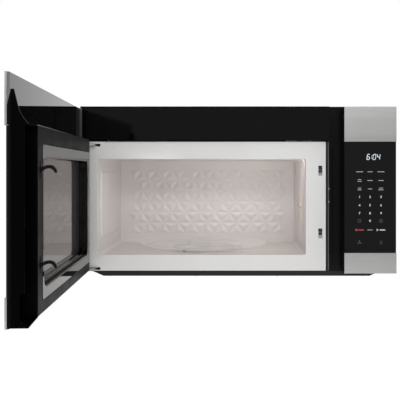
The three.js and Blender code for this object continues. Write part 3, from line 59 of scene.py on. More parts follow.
# wraps a socket, so that shader maths reads as plain expressions
class Signal:
    def __init__(self, finish, socket):
        self.finish = finish
        self.socket = socket

    def math(self, operation, *others):
        inputs = {0: self}
        inputs.update({index + 1: other for index, other in enumerate(others)})
        return self.finish.node("ShaderNodeMath", {"operation": operation}, inputs)

    def flipped(self, operation, other):
        return self.finish.node("ShaderNodeMath", {"operation": operation}, {0: other, 1: self})

    def __add__(self, other): return self.math("ADD", other)
    def __sub__(self, other): return self.math("SUBTRACT", other)
    def __rsub__(self, other): return self.flipped("SUBTRACT", other)
    def __mul__(self, other): return self.math("MULTIPLY", other)
    def __truediv__(self, other): return self.math("DIVIDE", other)
    def __pow__(self, other): return self.math("POWER", other)
    def __mod__(self, other): return self.math("FLOORED_MODULO", other)
    def __gt__(self, other): return self.math("GREATER_THAN", other)
    def __lt__(self, other): return self.math("LESS_THAN", other)
    def __abs__(self): return self.math("ABSOLUTE")


class Finish:
    def __init__(self, name):
        self.material = bpy.data.materials.new(name)
        self.material.use_nodes = True
        self.tree = self.material.node_tree
        self.tree.nodes.clear()

    # settings come first, because they decide which sockets a node has
    def node(self, kind, settings=None, inputs=None, output=0):
        made = self.tree.nodes.new(kind)
        for key, value in (settings or {}).items():
            setattr(made, key, value)
        for key, value in (inputs or {}).items():
            self.feed(made.inputs[key], value)
        return Signal(self, made.outputs[output])

    def feed(self, socket, value):
        if isinstance(value, Signal):
            self.tree.links.new(value.socket, socket)
        else:
            socket.default_value = value

    def place(self, stretch=(1, 1, 1)):
        at = self.node("ShaderNodeTexCoord", output="Object")
        if stretch == (1, 1, 1):
            return at
        return self.node("ShaderNodeVectorMath", {"operation": "MULTIPLY"}, {0: at, 1: stretch})

    def axis(self, name):
        return self.node("ShaderNodeSeparateXYZ", None, {0: self.place()}, output=name)

    # distance along the open door from its hinge, and depth behind its outer face
    def doorAxes(self):
        turn = math.radians(doorPlace["angle"])
        x = self.axis("X") - doorPlace["hinge"][0]
        y = self.axis("Y") - doorPlace["hinge"][1]
        along = x * math.cos(turn) - y * math.sin(turn)
        return along, x * math.sin(turn) + y * math.cos(turn) + doorPlace["setback"]

    def noise(self, scale, detail, stretch=(1, 1, 1)):
        return self.node("ShaderNodeTexNoise", {"noise_dimensions": "3D"}, {
            "Vector": self.place(stretch), "Scale": scale, "Detail": detail, "Roughness": 0.5})

    def cells(self, scale, output="Distance"):
        return self.node("ShaderNodeTexVoronoi", {"feature": "F1"},
                         {"Vector": self.place(), "Scale": scale}, output)

    def spread(self, value, low, high, start=0.0, end=1.0):
        return self.node("ShaderNodeMapRange", {"clamp": True}, {
            "Value": value, "From Min": low, "From Max": high, "To Min": start, "To Max": end})

    # the colour sockets of a mix node are its inputs 6 and 7 and its output 2
    def blend(self, factor, first, second):
        return self.node("ShaderNodeMix", {"data_type": "RGBA"},
                         {0: factor, 6: first, 7: second}, 2)

    def bump(self, height, strength, distance):
        return self.node("ShaderNodeBump", None, {
            "Height": height, "Strength": strength, "Distance": distance})

    def xBetween(self, low, high):
        return (self.axis("X") > low) * (self.axis("X") < high)

    def surface(self, **values):
        shader = self.node("ShaderNodeBsdfPrincipled", None,
                           {key.replace("_", " "): value for key, value in values.items()})
        self.finishWith(shader)
        return self.material

    def finishWith(self, shader):
        out = self.tree.nodes.new("ShaderNodeOutputMaterial")
        self.tree.links.new(shader.socket, out.inputs["Surface"])


brushing = {"color": 0.345, "streak": 0.03, "tint": (1, 1, 0.99), "metal": 0.85,
            "roughness": (0.24, 0.38), "grain": 0.35, "depth": 0.00005}


def brushedSteel(name, stretch):
    finish = Finish(name)
    fine = finish.noise(900, 4, stretch)
    broad = finish.noise(60, 3, stretch)
    value = fine * 0.6 + broad * 0.4
    low = grey(brushing["color"] - brushing["streak"], brushing["tint"])
    high = grey(brushing["color"] + brushing["streak"], brushing["tint"])
    return finish.surface(Base_Color=finish.blend(finish.spread(value, 0.3, 0.7), low, high),
                          Metallic=brushing["metal"],
                          Roughness=finish.spread(value, 0.2, 0.8, *brushing["roughness"]),
                          Normal=finish.bump(fine, brushing["grain"], brushing["depth"]))


enamelLook = {"frame": (0.86, 0.855, 0.85), "cavity": (0.80, 0.772, 0.765),
              "deeper": (0.95, 0.94, 0.93), "speck": (0.55, 0.5, 0.48, 1),
              "roughness": (0.27, 0.38), "peel": 0.12}


def enamel(name, tint):
    finish = Finish(name)
    cloud = finish.noise(7, 3)
    peel = finish.noise(420, 2)
    speck = finish.noise(1500, 1)
    deep = tuple(part * share for part, share in zip(tint, enamelLook["deeper"])) + (1,)
    color = finish.blend(finish.spread(cloud, 0.35, 0.7), deep, (*tint, 1))
    color = finish.blend(finish.spread(speck, 0.72, 0.8), color, enamelLook["speck"])
    return finish.surface(Base_Color=color,
                          Roughness=finish.spread(cloud, 0.3, 0.7, *enamelLook["roughness"]),
                          Normal=finish.bump(peel, enamelLook["peel"], 0.0002))


# tone, roughness and index of refraction of each polished black
blackLook = {"blackGlass": (0.006, 0.05, 1.3), "grilleBlack": (0.001, 0.04, 1.33),
             "innerPanelBlack": (0.002, 0.02, 1.33), "columnBlack": (0.002, 0.12, 1.25)}


def polishedBlack(name):
    finish = Finish(name)
    value, roughness, ior = blackLook[name]
    smear = finish.noise(9, 4)
    dust = finish.noise(1100, 2)
    return finish.surface(
        Base_Color=finish.blend(finish.spread(dust, 0.66, 0.8), grey(value), grey(value * 1.9)),
        IOR=ior, Roughness=finish.spread(smear, 0.35, 0.75, roughness, roughness + 0.05))


# tone, roughness, tint and index of refraction of each moulded plastic
plasticLook = {"latchPlastic": (0.8, 0.45, (1, 1, 1), 1.5), "bareEdge": (0.05, 0.4, (1, 1, 1), 1.5),
               "greyPlastic": (0.34, 0.5, (1, 1, 1.01), 1.5),
               "darkPlastic": (0.004, 0.4, (1, 1, 1), 1.2)}


def mouldedPlastic(name):
    finish = Finish(name)
    value, roughness, tint, ior = plasticLook[name]
    fine = finish.noise(1400, 3)
    cloud = finish.noise(18, 2)
    color = finish.blend(finish.spread(cloud, 0.35, 0.7),
                         grey(value * 0.88, tint), grey(value * 1.1, tint))
    return finish.surface(
        Base_Color=color, IOR=ior,
        Roughness=finish.spread(cloud, 0.3, 0.7, roughness - 0.05, roughness + 0.07),
        Normal=finish.bump(fine, 0.25, 0.00015))


# tones of the door's moulded frame, and where along the door, how deep and how high they begin
doorLook = {
    "edge": 0.0008, "inner": 0.024, "backing": 0.001, "reflectionBand": 0.17, "hingeTone": 0.026, "rim": 0.4,
    "reflectionStart": 0.619, "finLow": 0.1305, "finSlope": 4.0, "hingeEdge": 0.032,
    "glossDepth": 0.009, "innerDepth": 0.0425,
    "rimLow": 0.1153, "rimHigh": 0.1173, "highlightFade": (0.28, 0.56),
    "ior": 1.08, "satin": (0.36, 0.46), "gloss": 0.02, "coat": 1.0, "coatIor": 1.24,
}


# glossy black over the flat backing, satin on the moulded edges and grey on the inner face, with a
# painted reflection band near the free end, a painted highlight along the inner face's top edge,
# and painted shade on the other faces
def doorMoulding():
    finish = Finish("doorMoulding")
    along, depth = finish.doorAxes()
    height = finish.axis("Z")
    fine = finish.noise(1400, 3)
    cloud = finish.noise(18, 2)
    shallow = depth < doorLook["glossDepth"]
    flat = shallow * (along > doorLook["hingeEdge"])
    # painted reflection: a grey band on the flat backing near the free end, above the fin's slope,
    # stands in for the backdrop's reflection in the gloss
    reflectionBand = flat * (along > doorLook["reflectionStart"])
    reflectionBand = reflectionBand * (height > depth * doorLook["finSlope"] + doorLook["finLow"])
    inner = depth > doorLook["innerDepth"]
    # painted highlight: a thin pale line along the top edge of the inner face, fading along the
    # door, stands in for light caught on that edge
    rim = inner * (height > doorLook["rimLow"]) * (height < doorLook["rimHigh"])
    hinge = shallow * (along < doorLook["hingeEdge"])
    lit = rim * finish.spread(along, *doorLook["highlightFade"])
    # painted shade: faces outside the zones below, the end faces towards the lamps among them, get
    # a near-black tone, darker than the inner face of the same moulding
    tone = grey(doorLook["edge"])
    for zone, key in ((inner, "inner"), (flat, "backing"), (reflectionBand, "reflectionBand"), (hinge, "hingeTone"),
                      (lit, "rim")):
        tone = finish.blend(zone, tone, grey(doorLook[key]))
    satin = finish.spread(cloud, 0.3, 0.7, *doorLook["satin"])
    return finish.surface(
        Base_Color=tone, Roughness=satin * (1.0 - flat) + flat * doorLook["gloss"],
        IOR=doorLook["ior"], Coat_Weight=flat * doorLook["coat"], Coat_Roughness=doorLook["gloss"],
        Coat_IOR=doorLook["coatIor"], Normal=finish.bump(fine * (1.0 - flat), 0.2, 0.00012))


paintLook = {"tone": 0.006, "worn": 0.009, "ior": 1.35, "roughness": (0.41, 0.45), "peel": 0.3}


def blackPaint():
    finish = Finish("satinBlackPaint")
    peel = finish.noise(600, 2)
    wear = finish.noise(35, 5)
    color = finish.blend(finish.spread(wear, 0.62, 0.8),
                         grey(paintLook["tone"]), grey(paintLook["worn"]))
    return finish.surface(Base_Color=color, IOR=paintLook["ior"],
                          Roughness=finish.spread(wear, 0.3, 0.8, *paintLook["roughness"]),
                          Normal=finish.bump(peel, paintLook["peel"], 0.0002))


zincLook = {"spangles": 150.0, "dark": 0.36, "pale": 0.56, "tint": (0.98, 1, 1.02), "metal": 0.8,
            "roughness": (0.36, 0.56)}


def galvanised():
    finish = Finish("spangledZinc")
    spangle = finish.cells(zincLook["spangles"], "Color")
    tone = finish.node("ShaderNodeSeparateColor", None, {0: spangle})
    cloud = finish.noise(20, 3)
    color = finish.blend(tone * 0.6 + cloud * 0.4, grey(zincLook["dark"], zincLook["tint"]),
                         grey(zincLook["pale"], zincLook["tint"]))
    return finish.surface(Base_Color=color, Metallic=zincLook["metal"],
                          Roughness=finish.spread(tone, 0.0, 1.0, *zincLook["roughness"]),
                          Normal=finish.bump(tone, 0.12, 0.0002))


aluminiumLook = {"dark": 0.5, "pale": 0.66, "metal": 0.9, "roughness": (0.34, 0.48)}


def aluminium():
    finish = Finish("rolledAluminium")
    grain = finish.noise(500, 3, (1, 12, 1))
    color = finish.blend(grain, grey(aluminiumLook["dark"]), grey(aluminiumLook["pale"]))
    return finish.surface(Base_Color=color, Metallic=aluminiumLook["metal"],
                          Roughness=finish.spread(grain, 0.3, 0.7, *aluminiumLook["roughness"]),
                          Normal=finish.bump(grain, 0.2, 0.0001))


winding = {"wirePitch": 0.0012, "lamination": 0.0005, "coil": 0.0131,
           "copper": ((0.32, 0.12, 0.04, 1), (0.66, 0.30, 0.12, 1)), "steel": (0.10, 0.24)}


# copper wires on both sides of a stack of steel sheets
def transformerLook():
    finish = Finish("woundTransformer")
    low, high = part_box("transformer")
    inCore = finish.xBetween(low.x + winding["coil"], high.x - winding["coil"])
    wires = (finish.axis("Z") / winding["wirePitch"]) % 1.0
    layers = (finish.axis("X") / winding["lamination"]) % 1.0
    copper = finish.blend(wires, *winding["copper"])
    steel = finish.blend(layers, *(grey(tone) for tone in winding["steel"]))
    return finish.surface(Base_Color=finish.blend(inCore, copper, steel),
                          Metallic=finish.spread(inCore, 0, 1, 0.6, 0.7), Roughness=0.45,
                          Normal=finish.bump(wires, 0.4, 0.0003))


micaLook = {"flakes": 320.0, "dark": (0.62, 0.55, 0.42, 1), "pale": (0.78, 0.73, 0.62, 1)}


def micaSheet():
    finish = Finish("pressedMica")
    flake = finish.cells(micaLook["flakes"])
    cloud = finish.noise(60, 4)
    color = finish.blend(cloud * 0.7 + flake * 8.0, micaLook["dark"], micaLook["pale"])
    return finish.surface(Base_Color=color, Roughness=0.5, Normal=finish.bump(flake, 0.2, 0.0003))


boardLook = {"trackPitch": 0.004, "crossPitch": 0.005, "trackWidth": 0.13, "crossWidth": 0.12,
             "mask": (0.012, 0.09, 0.035, 1), "copper": (0.03, 0.20, 0.08, 1)}


# broken tracks both ways, raised a little under the green mask
def circuitBoard():
    finish = Finish("solderMask")
    across = abs((finish.axis("X") / boardLook["trackPitch"]) % 1.0 - 0.5)
    up = abs((finish.axis("Z") / boardLook["crossPitch"]) % 1.0 - 0.5)
    tracks = (across < boardLook["trackWidth"]) * (finish.noise(40, 0) > 0.5)
    crossing = (up < boardLook["crossWidth"]) * (finish.noise(33, 0) > 0.53)
    copper = tracks.math("MAXIMUM", crossing)
    return finish.surface(Base_Color=finish.blend(copper, boardLook["mask"], boardLook["copper"]),
                          Roughness=finish.spread(copper, 0, 1, 0.4, 0.3),
                          Normal=finish.bump(copper, 0.3, 0.00005))


charcoalLook = {"grains": 420.0, "pale": 0.05, "dark": 0.008}


def charcoalPad():
    finish = Finish("charcoalPad")
    lumps = finish.cells(charcoalLook["grains"])
    color = finish.blend(finish.spread(lumps, 0.0, 0.7),
                         grey(charcoalLook["pale"]), grey(charcoalLook["dark"]))
    return finish.surface(Base_Color=color, Roughness=0.9, Normal=finish.bump(lumps, 0.8, 0.001))


screenLook = {"pitch": 0.0026, "rowHeight": 0.866, "hole": 0.33, "soft": 0.08, "steel": 0.030,
              "void": 0.003, "coatIor": 1.6}


# staggered round holes, drawn across the screen's own plane
def perforatedScreen():
    finish = Finish("perforatedScreen")
    along = finish.axis("Y") / screenLook["pitch"]
    up = finish.axis("Z") / (screenLook["pitch"] * screenLook["rowHeight"])
    shift = (up.math("FLOOR") % 2.0) * 0.5
    u = (along + shift) % 1.0 - 0.5
    v = (up % 1.0 - 0.5) * screenLook["rowHeight"]
    radius = (u * u + v * v) ** 0.5
    hole = finish.spread(radius, screenLook["hole"], screenLook["hole"] + screenLook["soft"],
                         1.0, 0.0)
    color = finish.blend(hole, grey(screenLook["steel"]), grey(screenLook["void"]))
    return finish.surface(Base_Color=color, Roughness=finish.spread(hole, 0, 1, 0.35, 0.7),
                          Coat_Weight=1.0, Coat_Roughness=0.02, Coat_IOR=screenLook["coatIor"],
                          Normal=finish.bump(1.0 - hole, 0.4, 0.0002))


glassLook = {"face": 0.035, "edge": 0.85, "reach": 0.35, "tint": (0.93, 0.915, 0.905, 1),
             "ior": 1.5}


# thin pressed glass: clear face on, and a painted pale reflection where it is seen edge on
def clearGlass():
    finish = Finish("clearPressedGlass")
    ripple = finish.noise(40, 2)
    facing = finish.node("ShaderNodeLayerWeight", None, {"Blend": glassLook["reach"]}, "Facing")
    # painted reflection: the pale tint becomes opaque at grazing angles, standing in for the
    # glass's reflections at its rims
    cover = finish.spread(facing ** 3.0, 0.0, 1.0, glassLook["face"], glassLook["edge"])
    return finish.surface(Base_Color=glassLook["tint"], IOR=glassLook["ior"], Alpha=cover,
                          Roughness=finish.spread(ripple, 0.3, 0.7, 0.015, 0.05),
                          Normal=finish.bump(ripple, 0.1, 0.0004))


def dimmed(color, share):
    return tuple(part * share for part in color[:3]) + (1,)


def glowing(name, color, strength):
    finish = Finish(name)
    tone = finish.blend(finish.noise(500, 1), dimmed(color, 0.92), color)
    return finish.surface(Base_Color=tone, Roughness=0.4, Emission_Color=tone,
                          Emission_Strength=strength)


def printed(name, color):
    finish = Finish(name)
    edge = finish.noise(900, 2)
    tone = finish.blend(finish.spread(edge, 0.3, 0.7), dimmed(color, 0.8), color)
    return finish.surface(Base_Color=tone, Roughness=finish.spread(edge, 0.3, 0.7, 0.4, 0.55))


# where the bulb begins and ends, as shares of each lamp's length
lampLook = {"cavity_lamp": (0.02, 0.6), "cooktop_lamp": (0.55, 1.1), "holder": (0.34, 0.5),
            "bulb": (0.86, 0.83, 0.74, 1)}


def lampFinish(name, node):
    finish = Finish(name)
    low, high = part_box(node)
    bulb = finish.xBetween(*(low.x + (high.x - low.x) * share for share in lampLook[node]))
    metal = finish.blend(finish.noise(300, 2), *(grey(tone) for tone in lampLook["holder"]))
    return finish.surface(Base_Color=finish.blend(bulb, metal, lampLook["bulb"]),
                          Metallic=finish.spread(bulb, 0, 1, 0.75, 0.0),
                          Roughness=finish.spread(bulb, 0, 1, 0.42, 0.15))


partitionLook = {"seam": 0.2226, "dark": 0.003, "bare": 0.11, "ior": 1.3}


# the partition's bare steel edge, in the shadow of the frame on one side
def partitionEdge():
    finish = Finish("partitionEdge")
    cloud = finish.noise(60, 3)
    bare = finish.blend(cloud, grey(partitionLook["bare"] * 0.8), grey(partitionLook["bare"] * 1.2))
    color = finish.blend(finish.axis("X") > partitionLook["seam"],
                         grey(partitionLook["dark"]), bare)
    return finish.surface(Base_Color=color, IOR=partitionLook["ior"],
                          Roughness=finish.spread(cloud, 0.3, 0.7, 0.35, 0.45),
                          Normal=finish.bump(cloud, 0.1, 0.0001))


steelAcross = brushedSteel("brushedSteelAcross", (0.02, 1, 1))
steelDoor = brushedSteel("brushedSteelDoor", (1, 0.02, 1))
frameEnamel = enamel("frameEnamel", enamelLook["frame"])
cavityEnamel = enamel("cavityEnamel", enamelLook["cavity"])
panelGlass = polishedBlack("blackGlass")
grilleBlack = polishedBlack("grilleBlack")
innerBlack = polishedBlack("innerPanelBlack")
columnBlack = polishedBlack("columnBlack")
doorPlastic = doorMoulding()
latchPlastic = mouldedPlastic("latchPlastic")
bareEdge = mouldedPlastic("bareEdge")
greyPlastic = mouldedPlastic("greyPlastic")
darkPlastic = mouldedPlastic("darkPlastic")
casePaint = blackPaint()
zinc = galvanised()
millAluminium = aluminium()
screenBlack = perforatedScreen()
trayGlass = clearGlass()

finishOf = {
    "wall_mounting_plate": zinc, "rear_panel": zinc, "case_wrap": casePaint, "base_pan": casePaint,
    "front_frame": frameEnamel, "cavity_liner": cavityEnamel, "cavity_back_wall": cavityEnamel,
    "bay_partition": partitionEdge(), "waveguide_cover": micaSheet(), "bay_floor": zinc,
    "vent_grille": grilleBlack, "control_housing": columnBlack, "control_top_strip": steelAcross,
    "control_bottom_strip": steelAcross, "control_glass": panelGlass, "clock_display": darkPlastic,
    "control_board": circuitBoard(), "hinge_plate_upper": zinc, "hinge_plate_lower": zinc,
    "hinge_bush": greyPlastic, "latch_board": latchPlastic, "interlock_switch_upper": greyPlastic,
    "interlock_switch_lower": greyPlastic, "turntable_motor": zinc, "waveguide": zinc,
    "magnetron": millAluminium, "transformer": transformerLook(), "capacitor": millAluminium,
    "diode": darkPlastic, "cooling_fan_motor": zinc,
    "cavity_lamp": lampFinish("cavityLampLook", "cavity_lamp"),
    "blower_motor": zinc, "blower_housing_left": zinc, "blower_housing_right": zinc,
    "exhaust_adaptor": zinc, "charcoal_filter": charcoalPad(),
    "cooktop_lamp": lampFinish("cooktopLampLook", "cooktop_lamp"),
    "door_top_strip": steelDoor, "door_bottom_strip": steelDoor, "door_glass": panelGlass,
    "door_frame": doorPlastic, "door_screen": screenBlack, "door_inner_panel": innerBlack,
    "latch_spring": zinc, "door_latch": darkPlastic, "switch_plunger_upper": darkPlastic,
    "switch_plunger_lower": darkPlastic, "turntable_coupler": greyPlastic,
    "turntable_tray": trayGlass, "roller_ring": greyPlastic, "roller_1": greyPlastic,
    "roller_2": greyPlastic, "roller_3": greyPlastic, "cooling_fan": greyPlastic,
    "blower_wheel_left": greyPlastic, "blower_wheel_right": greyPlastic, "exhaust_damper": zinc,
    "grease_filter_left": millAluminium, "grease_filter_right": millAluminium,
    "lamp_cover": trayGlass,
}
for name, node in nodes.items():
    node.data.materials.clear()
    node.data.materials.append(finishOf[name])
print("finishes given to", len(finishOf), "pieces")


def meshObject(name, vertices, faces, material, body, slot, smooth=False):
    mesh = bpy.data.meshes.new(name)
    mesh.from_pydata(vertices, [], faces)
    mesh.validate()
    if smooth:
        mesh.polygons.foreach_set("use_smooth", [True] * len(mesh.polygons))
    mesh.materials.append(material)
    return ridden(name, mesh, body)


def ridden(name, mesh, body):
    made = linked(name, mesh)
    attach(made, body)
    return made


# faces between closed loops of as many points each, and from the last loop to the first
def bands(loopCount, count):
    faces = []
    for row in range(loopCount):
        after = (row + 1) % loopCount
        for index in range(count):
            following = (index + 1) % count
            faces.append([row * count + index, after * count + index,
                          after * count + following, row * count + following])
    return faces


# flat outlines in X and Z, given a thickness towards the back
def plates(outlines, front, thick):
    vertices, faces = [], []
    for points in outlines:
        start, count = len(vertices), len(points)
        vertices += [(x, front, z) for x, z in points]
        vertices += [(x, front + thick, z) for x, z in points]
        faces.append([start + index for index in range(count)])
        faces.append([start + count + index for index in reversed(range(count))])
        for index in range(count):
            following = (index + 1) % count
            faces.append([start + following, start + index,
                          start + count + index, start + count + following])
    return vertices, faces


def barOutline(x, z, width, height):
    return [(x - width / 2, z - height / 2), (x + width / 2, z - height / 2),
            (x + width / 2, z + height / 2), (x - width / 2, z + height / 2)]


def ringOutlines(x, z, radius, thick, count=20):
    outlines, inner = [], radius - thick
    for index in range(count):
        start, end = (2 * math.pi * (index + step) / count for step in (0, 1))
        corners = (inner, start), (radius, start), (radius, end), (inner, end)
        outlines.append([(x + r * math.cos(a), z + r * math.sin(a)) for r, a in corners])
    return outlines


# the tray's section, from the foot outwards and back over the rim: distance in from the edge, and
# height above the foot or, for the rim, below the top
tray = {
    "segments": 128, "clearance": 0.0001, "glassThick": 0.0043,
    "under": ((0.011, 0), (0.006, 0.0012)),
    "rim": ((0.0005, 0.0022), (0, 0.0008), (0.0008, 0), (0.0022, 0.0003), (0.0035, 0.0014)),
    "upper": ((0.0085, 0.0056), (0.014, 0.0046)),
    "ringCount": 3, "firstRing": 0.82, "ringStep": 0.2, "ringRise": 0.0006,
    "ringSection": ((0.004, 0), (0.0022, 1), (-0.0022, 1), (-0.004, 0)),
}


def lathe(profile, centre, segments):
    vertices, faces = [], []
    count = len(profile)
    for step in range(segments):
        angle = 2 * math.pi * step / segments
        for radius, height in profile[1:-1]:
            vertices.append((centre[0] + radius * math.cos(angle),
                             centre[1] + radius * math.sin(angle), height))
    inner = count - 2
    bottom, top = len(vertices), len(vertices) + 1
    vertices += [(*centre, profile[0][1]), (*centre, profile[-1][1])]
    for step in range(segments):
        following = (step + 1) % segments
        faces.append([bottom, following * inner, step * inner])
        for index in range(inner - 1):
            faces.append([step * inner + index, following * inner + index,
                          following * inner + index + 1, step * inner + index + 1])
        faces.append([step * inner + inner - 1, following * inner + inner - 1, top])
    return vertices, faces


def buildTray():
    low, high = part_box("turntable_tray")
    centre = ((low.x + high.x) / 2, (low.y + high.y) / 2)
    radius = (high.x - low.x) / 2 - tray["clearance"]
    top = low.z + tray["glassThick"]
    profile = [(0, low.z)]
    profile += [(radius - inset, low.z + rise) for inset, rise in tray["under"]]
    profile += [(radius - inset, high.z - drop) for inset, drop in tray["rim"]]
    profile += [(radius - inset, low.z + rise) for inset, rise in tray["upper"]]
    for index in range(tray["ringCount"]):
        middle = radius * (tray["firstRing"] - tray["ringStep"] * index)
        profile += [(middle + offset, top + lift * tray["ringRise"])
                    for offset, lift in tray["ringSection"]]
    profile.append((0, top))
    vertices, faces = lathe(profile, centre, tray["segments"])
    made = meshObject("turntableTrayGlass", vertices, faces, trayGlass, "tray", "clear_glass", True)
    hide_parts("turntable_tray")


buildTray()
print("tray made")


# the door's inner panel: lengths along the door from its hinge, depths behind its outer face, and
# for heights the distances in from both edges; each step is a share of the way in, and a depth
doorPanel = {
    "outline": (0.063, 0.555), "corner": 0.008, "back": 0.0404, "face": 0.0437,
    "edge": 0.0020, "ease": 0.3, "mattRows": 3, "skin": 0.0018, "lip": 0.004,
    "openingX": (0.0905, 0.5415), "openingZ": (0.0215, 0.0230), "openingCorner": 0.016,
    "sheetX": (0.0933, 0.5397), "sheetZ": (0.0283, 0.0243), "sheetCorner": 0.012,
    "steps": ((0.0, 0.0431), (0.12, 0.0420), (0.16, 0.0384), (0.48, 0.0376), (0.52, 0.0330),
              (0.88, 0.0322), (1.0, 0.0258)),
    "cornerSteps": 6, "leastCorner": 0.0005,
}


# a place given by its distance along the door, its depth and its height, with the door open
def doorPoint(along, depth, z):
    turn = math.radians(doorPlace["angle"])
    deep = depth - doorPlace["setback"]
    return (doorPlace["hinge"][0] + along * math.cos(turn) + deep * math.sin(turn),
            doorPlace["hinge"][1] - along * math.sin(turn) + deep * math.cos(turn), z)


def roundedLoop(edges, corner, depth, grow=0.0):
    left, right, low, high = edges[0] - grow, edges[1] + grow, edges[2] - grow, edges[3] + grow
    corner = max(corner + grow, doorPanel["leastCorner"])
    middles = ((right - corner, high - corner), (left + corner, high - corner),
               (left + corner, low + corner), (right - corner, low + corner))
    loop = []
    for quarter, (x, z) in enumerate(middles):
        for step in range(doorPanel["cornerSteps"] + 1):
            angle = math.pi / 2 * (quarter + step / doorPanel["cornerSteps"])
            loop.append(doorPoint(x + corner * math.cos(angle), depth,
                                  z + corner * math.sin(angle)))
    return loop


def buildDoorPanel():
    low, high = (corner.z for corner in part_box("door_inner_panel"))
    face, back, edge, skin = (doorPanel[key] for key in ("face", "back", "edge", "skin"))
    wide, ease = doorPanel["openingCorner"], doorPanel["ease"]
    narrow = doorPanel["sheetCorner"]
    outer = (*doorPanel["outline"], low, high)
    opening, sheet = ((*doorPanel[name + "X"], low + doorPanel[name + "Z"][0],
                       high - doorPanel[name + "Z"][1]) for name in ("opening", "sheet"))
    loops = [roundedLoop(outer, doorPanel["corner"], depth, grow)
             for depth, grow in ((back, 0), (face - edge, 0),
                                 (face - edge * ease, -edge * ease), (face, -edge))]
    loops.append(roundedLoop(opening, wide, face, edge))
    for share, depth in doorPanel["steps"]:
        edges = [a + (b - a) * share for a, b in zip(opening, sheet)]
        loops.append(roundedLoop(edges, wide + (narrow - wide) * share, depth))
    foot = doorPanel["steps"][-1][1]
    loops += [roundedLoop(sheet, narrow, foot, skin),
              roundedLoop(sheet, narrow, back - doorPanel["lip"], skin),
              roundedLoop(opening, wide, back, skin)]
    count = len(loops[0])
    made = meshObject("doorInnerMoulding", [point for loop in loops for point in loop],
                      bands(len(loops), count), innerBlack, "door", "gloss_black")
    made.data.materials.append(darkPlastic)
    for side in made.data.polygons[:doorPanel["mattRows"] * count]:
        side.material_index = 1
    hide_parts("door_inner_panel")


# plastic lining inside the folded hinge end of the upper steel strip
foldLining = {"along": (-0.0129, -0.0119), "depth": (0.0086, 0.0142), "heights": (0.118, 0.1955)}


def buildFoldLining():
    (near, far), (shallow, deep) = foldLining["along"], foldLining["depth"]
    vertices = [doorPoint(along, depth, z) for z in foldLining["heights"]
                for along, depth in ((near, shallow), (far, shallow), (far, deep), (near, deep))]
    faces = [(3, 2, 1, 0), (4, 5, 6, 7), (1, 5, 4, 0), (2, 6, 5, 1), (3, 7, 6, 2), (0, 4, 7, 3)]
    meshObject("doorFoldLining", vertices, faces, bareEdge, "door", "black_plastic")


buildDoorPanel()
buildFoldLining()
print("door panel made")


# clock, keypad figures and marks on the glass panel
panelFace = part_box("control_glass")[0].y
legend = {
    "thick": 0.00012, "columns": (0.2922, 0.3171, 0.3432),
    "wordRows": (0.0413, 0.0206, 0.0005), "figureRows": (-0.0185, -0.0383, -0.0573, -0.0755),
    "markRow": -0.0969, "lightRow": -0.1266,
}
paleInk = printed("legendInk", (0.62, 0.62, 0.62, 1))
figureInk = printed("figureInk", (0.95, 0.95, 0.95, 1))
dimInk = printed("dimInk", (0.13, 0.13, 0.13, 1))
redInk = printed("redInk", (0.46, 0.035, 0.045, 1))
clockGlow = glowing("clockGlow", (0.86, 0.93, 1.0, 1), 0.42)


def marks(name, outlines, ink):
    meshObject(name, *plates(outlines, panelFace - legend["thick"], legend["thick"]), ink,
               "cabinet", "black_glass")


clockFace = {"height": 0.0138, "width": 0.0074, "stroke": 0.0012, "slant": 0.16, "gap": 0.0025,
             "left": 0.3085, "bottom": 0.0697, "time": "6:04",
             "colon": (0.32, 0.68), "dot": 0.0016, "dotIndent": 0.0011, "colonWidth": 0.0042}
segmentsOf = {"0": "abcdef", "1": "bc", "2": "abged", "3": "abgcd", "4": "fgbc", "5": "afgcd",
              "6": "afgedc", "7": "abc", "8": "abcdefg", "9": "abfgcd"}


def across(z, width, stroke, gap):
    half = stroke / 2
    return [(half + gap, z), (stroke + gap, z + half), (width - stroke - gap, z + half),
            (width - half - gap, z), (width - stroke - gap, z - half), (stroke + gap, z - half)]


def upright(x, low, high, stroke, gap):
    half = stroke / 2
    return [(x, low + gap), (x + half, low + half + gap), (x + half, high - half - gap),
            (x, high - gap), (x - half, high - half - gap), (x - half, low + half + gap)]


# the strokes of one figure of a display with seven segments
def clockSegments(sign):
    width, height, stroke = clockFace["width"], clockFace["height"], clockFace["stroke"]
    half, gap = stroke / 2, stroke * 0.2
    middle, top, right = height / 2, height - half, width - half
    shapes = {"a": across(top, width, stroke, gap), "g": across(middle, width, stroke, gap),
              "d": across(half, width, stroke, gap), "b": upright(right, middle, top, stroke, gap),
              "c": upright(right, half, middle, stroke, gap),
              "e": upright(half, half, middle, stroke, gap),
              "f": upright(half, middle, top, stroke, gap)}
    return [shapes[key] for key in segmentsOf[sign]]


def buildClock():
    dot, indent = clockFace["dot"], clockFace["dotIndent"]
    outlines, left = [], clockFace["left"]
    for sign in clockFace["time"]:
        if sign == ":":
            for share in clockFace["colon"]:
                height = clockFace["height"] * share
                start = left + indent + height * clockFace["slant"]
                outlines.append(barOutline(start + dot / 2, clockFace["bottom"] + height, dot, dot))
            left += clockFace["colonWidth"]
        else:
            outlines += [[(left + x + z * clockFace["slant"], clockFace["bottom"] + z)
                          for x, z in shape] for shape in clockSegments(sign)]
            left += clockFace["width"] + clockFace["gap"]
    marks("clockFigures", outlines, clockGlow)


# bars in the place of the words over the keys; a key with two bars has one above the other
keyBars = {"widths": ((0.0165, 0.0120, 0.0160), (0.0100, 0.0125, 0.0125), (0.0095, 0.0095, 0.0115)),
           "height": 0.0013, "doubled": ((1, 0), (2, 0), (2, 2)), "doubledHeight": 0.0012,
           "doubledRise": 0.0021, "upperShare": 0.8, "markBar": (0.0125, 0.0012)}


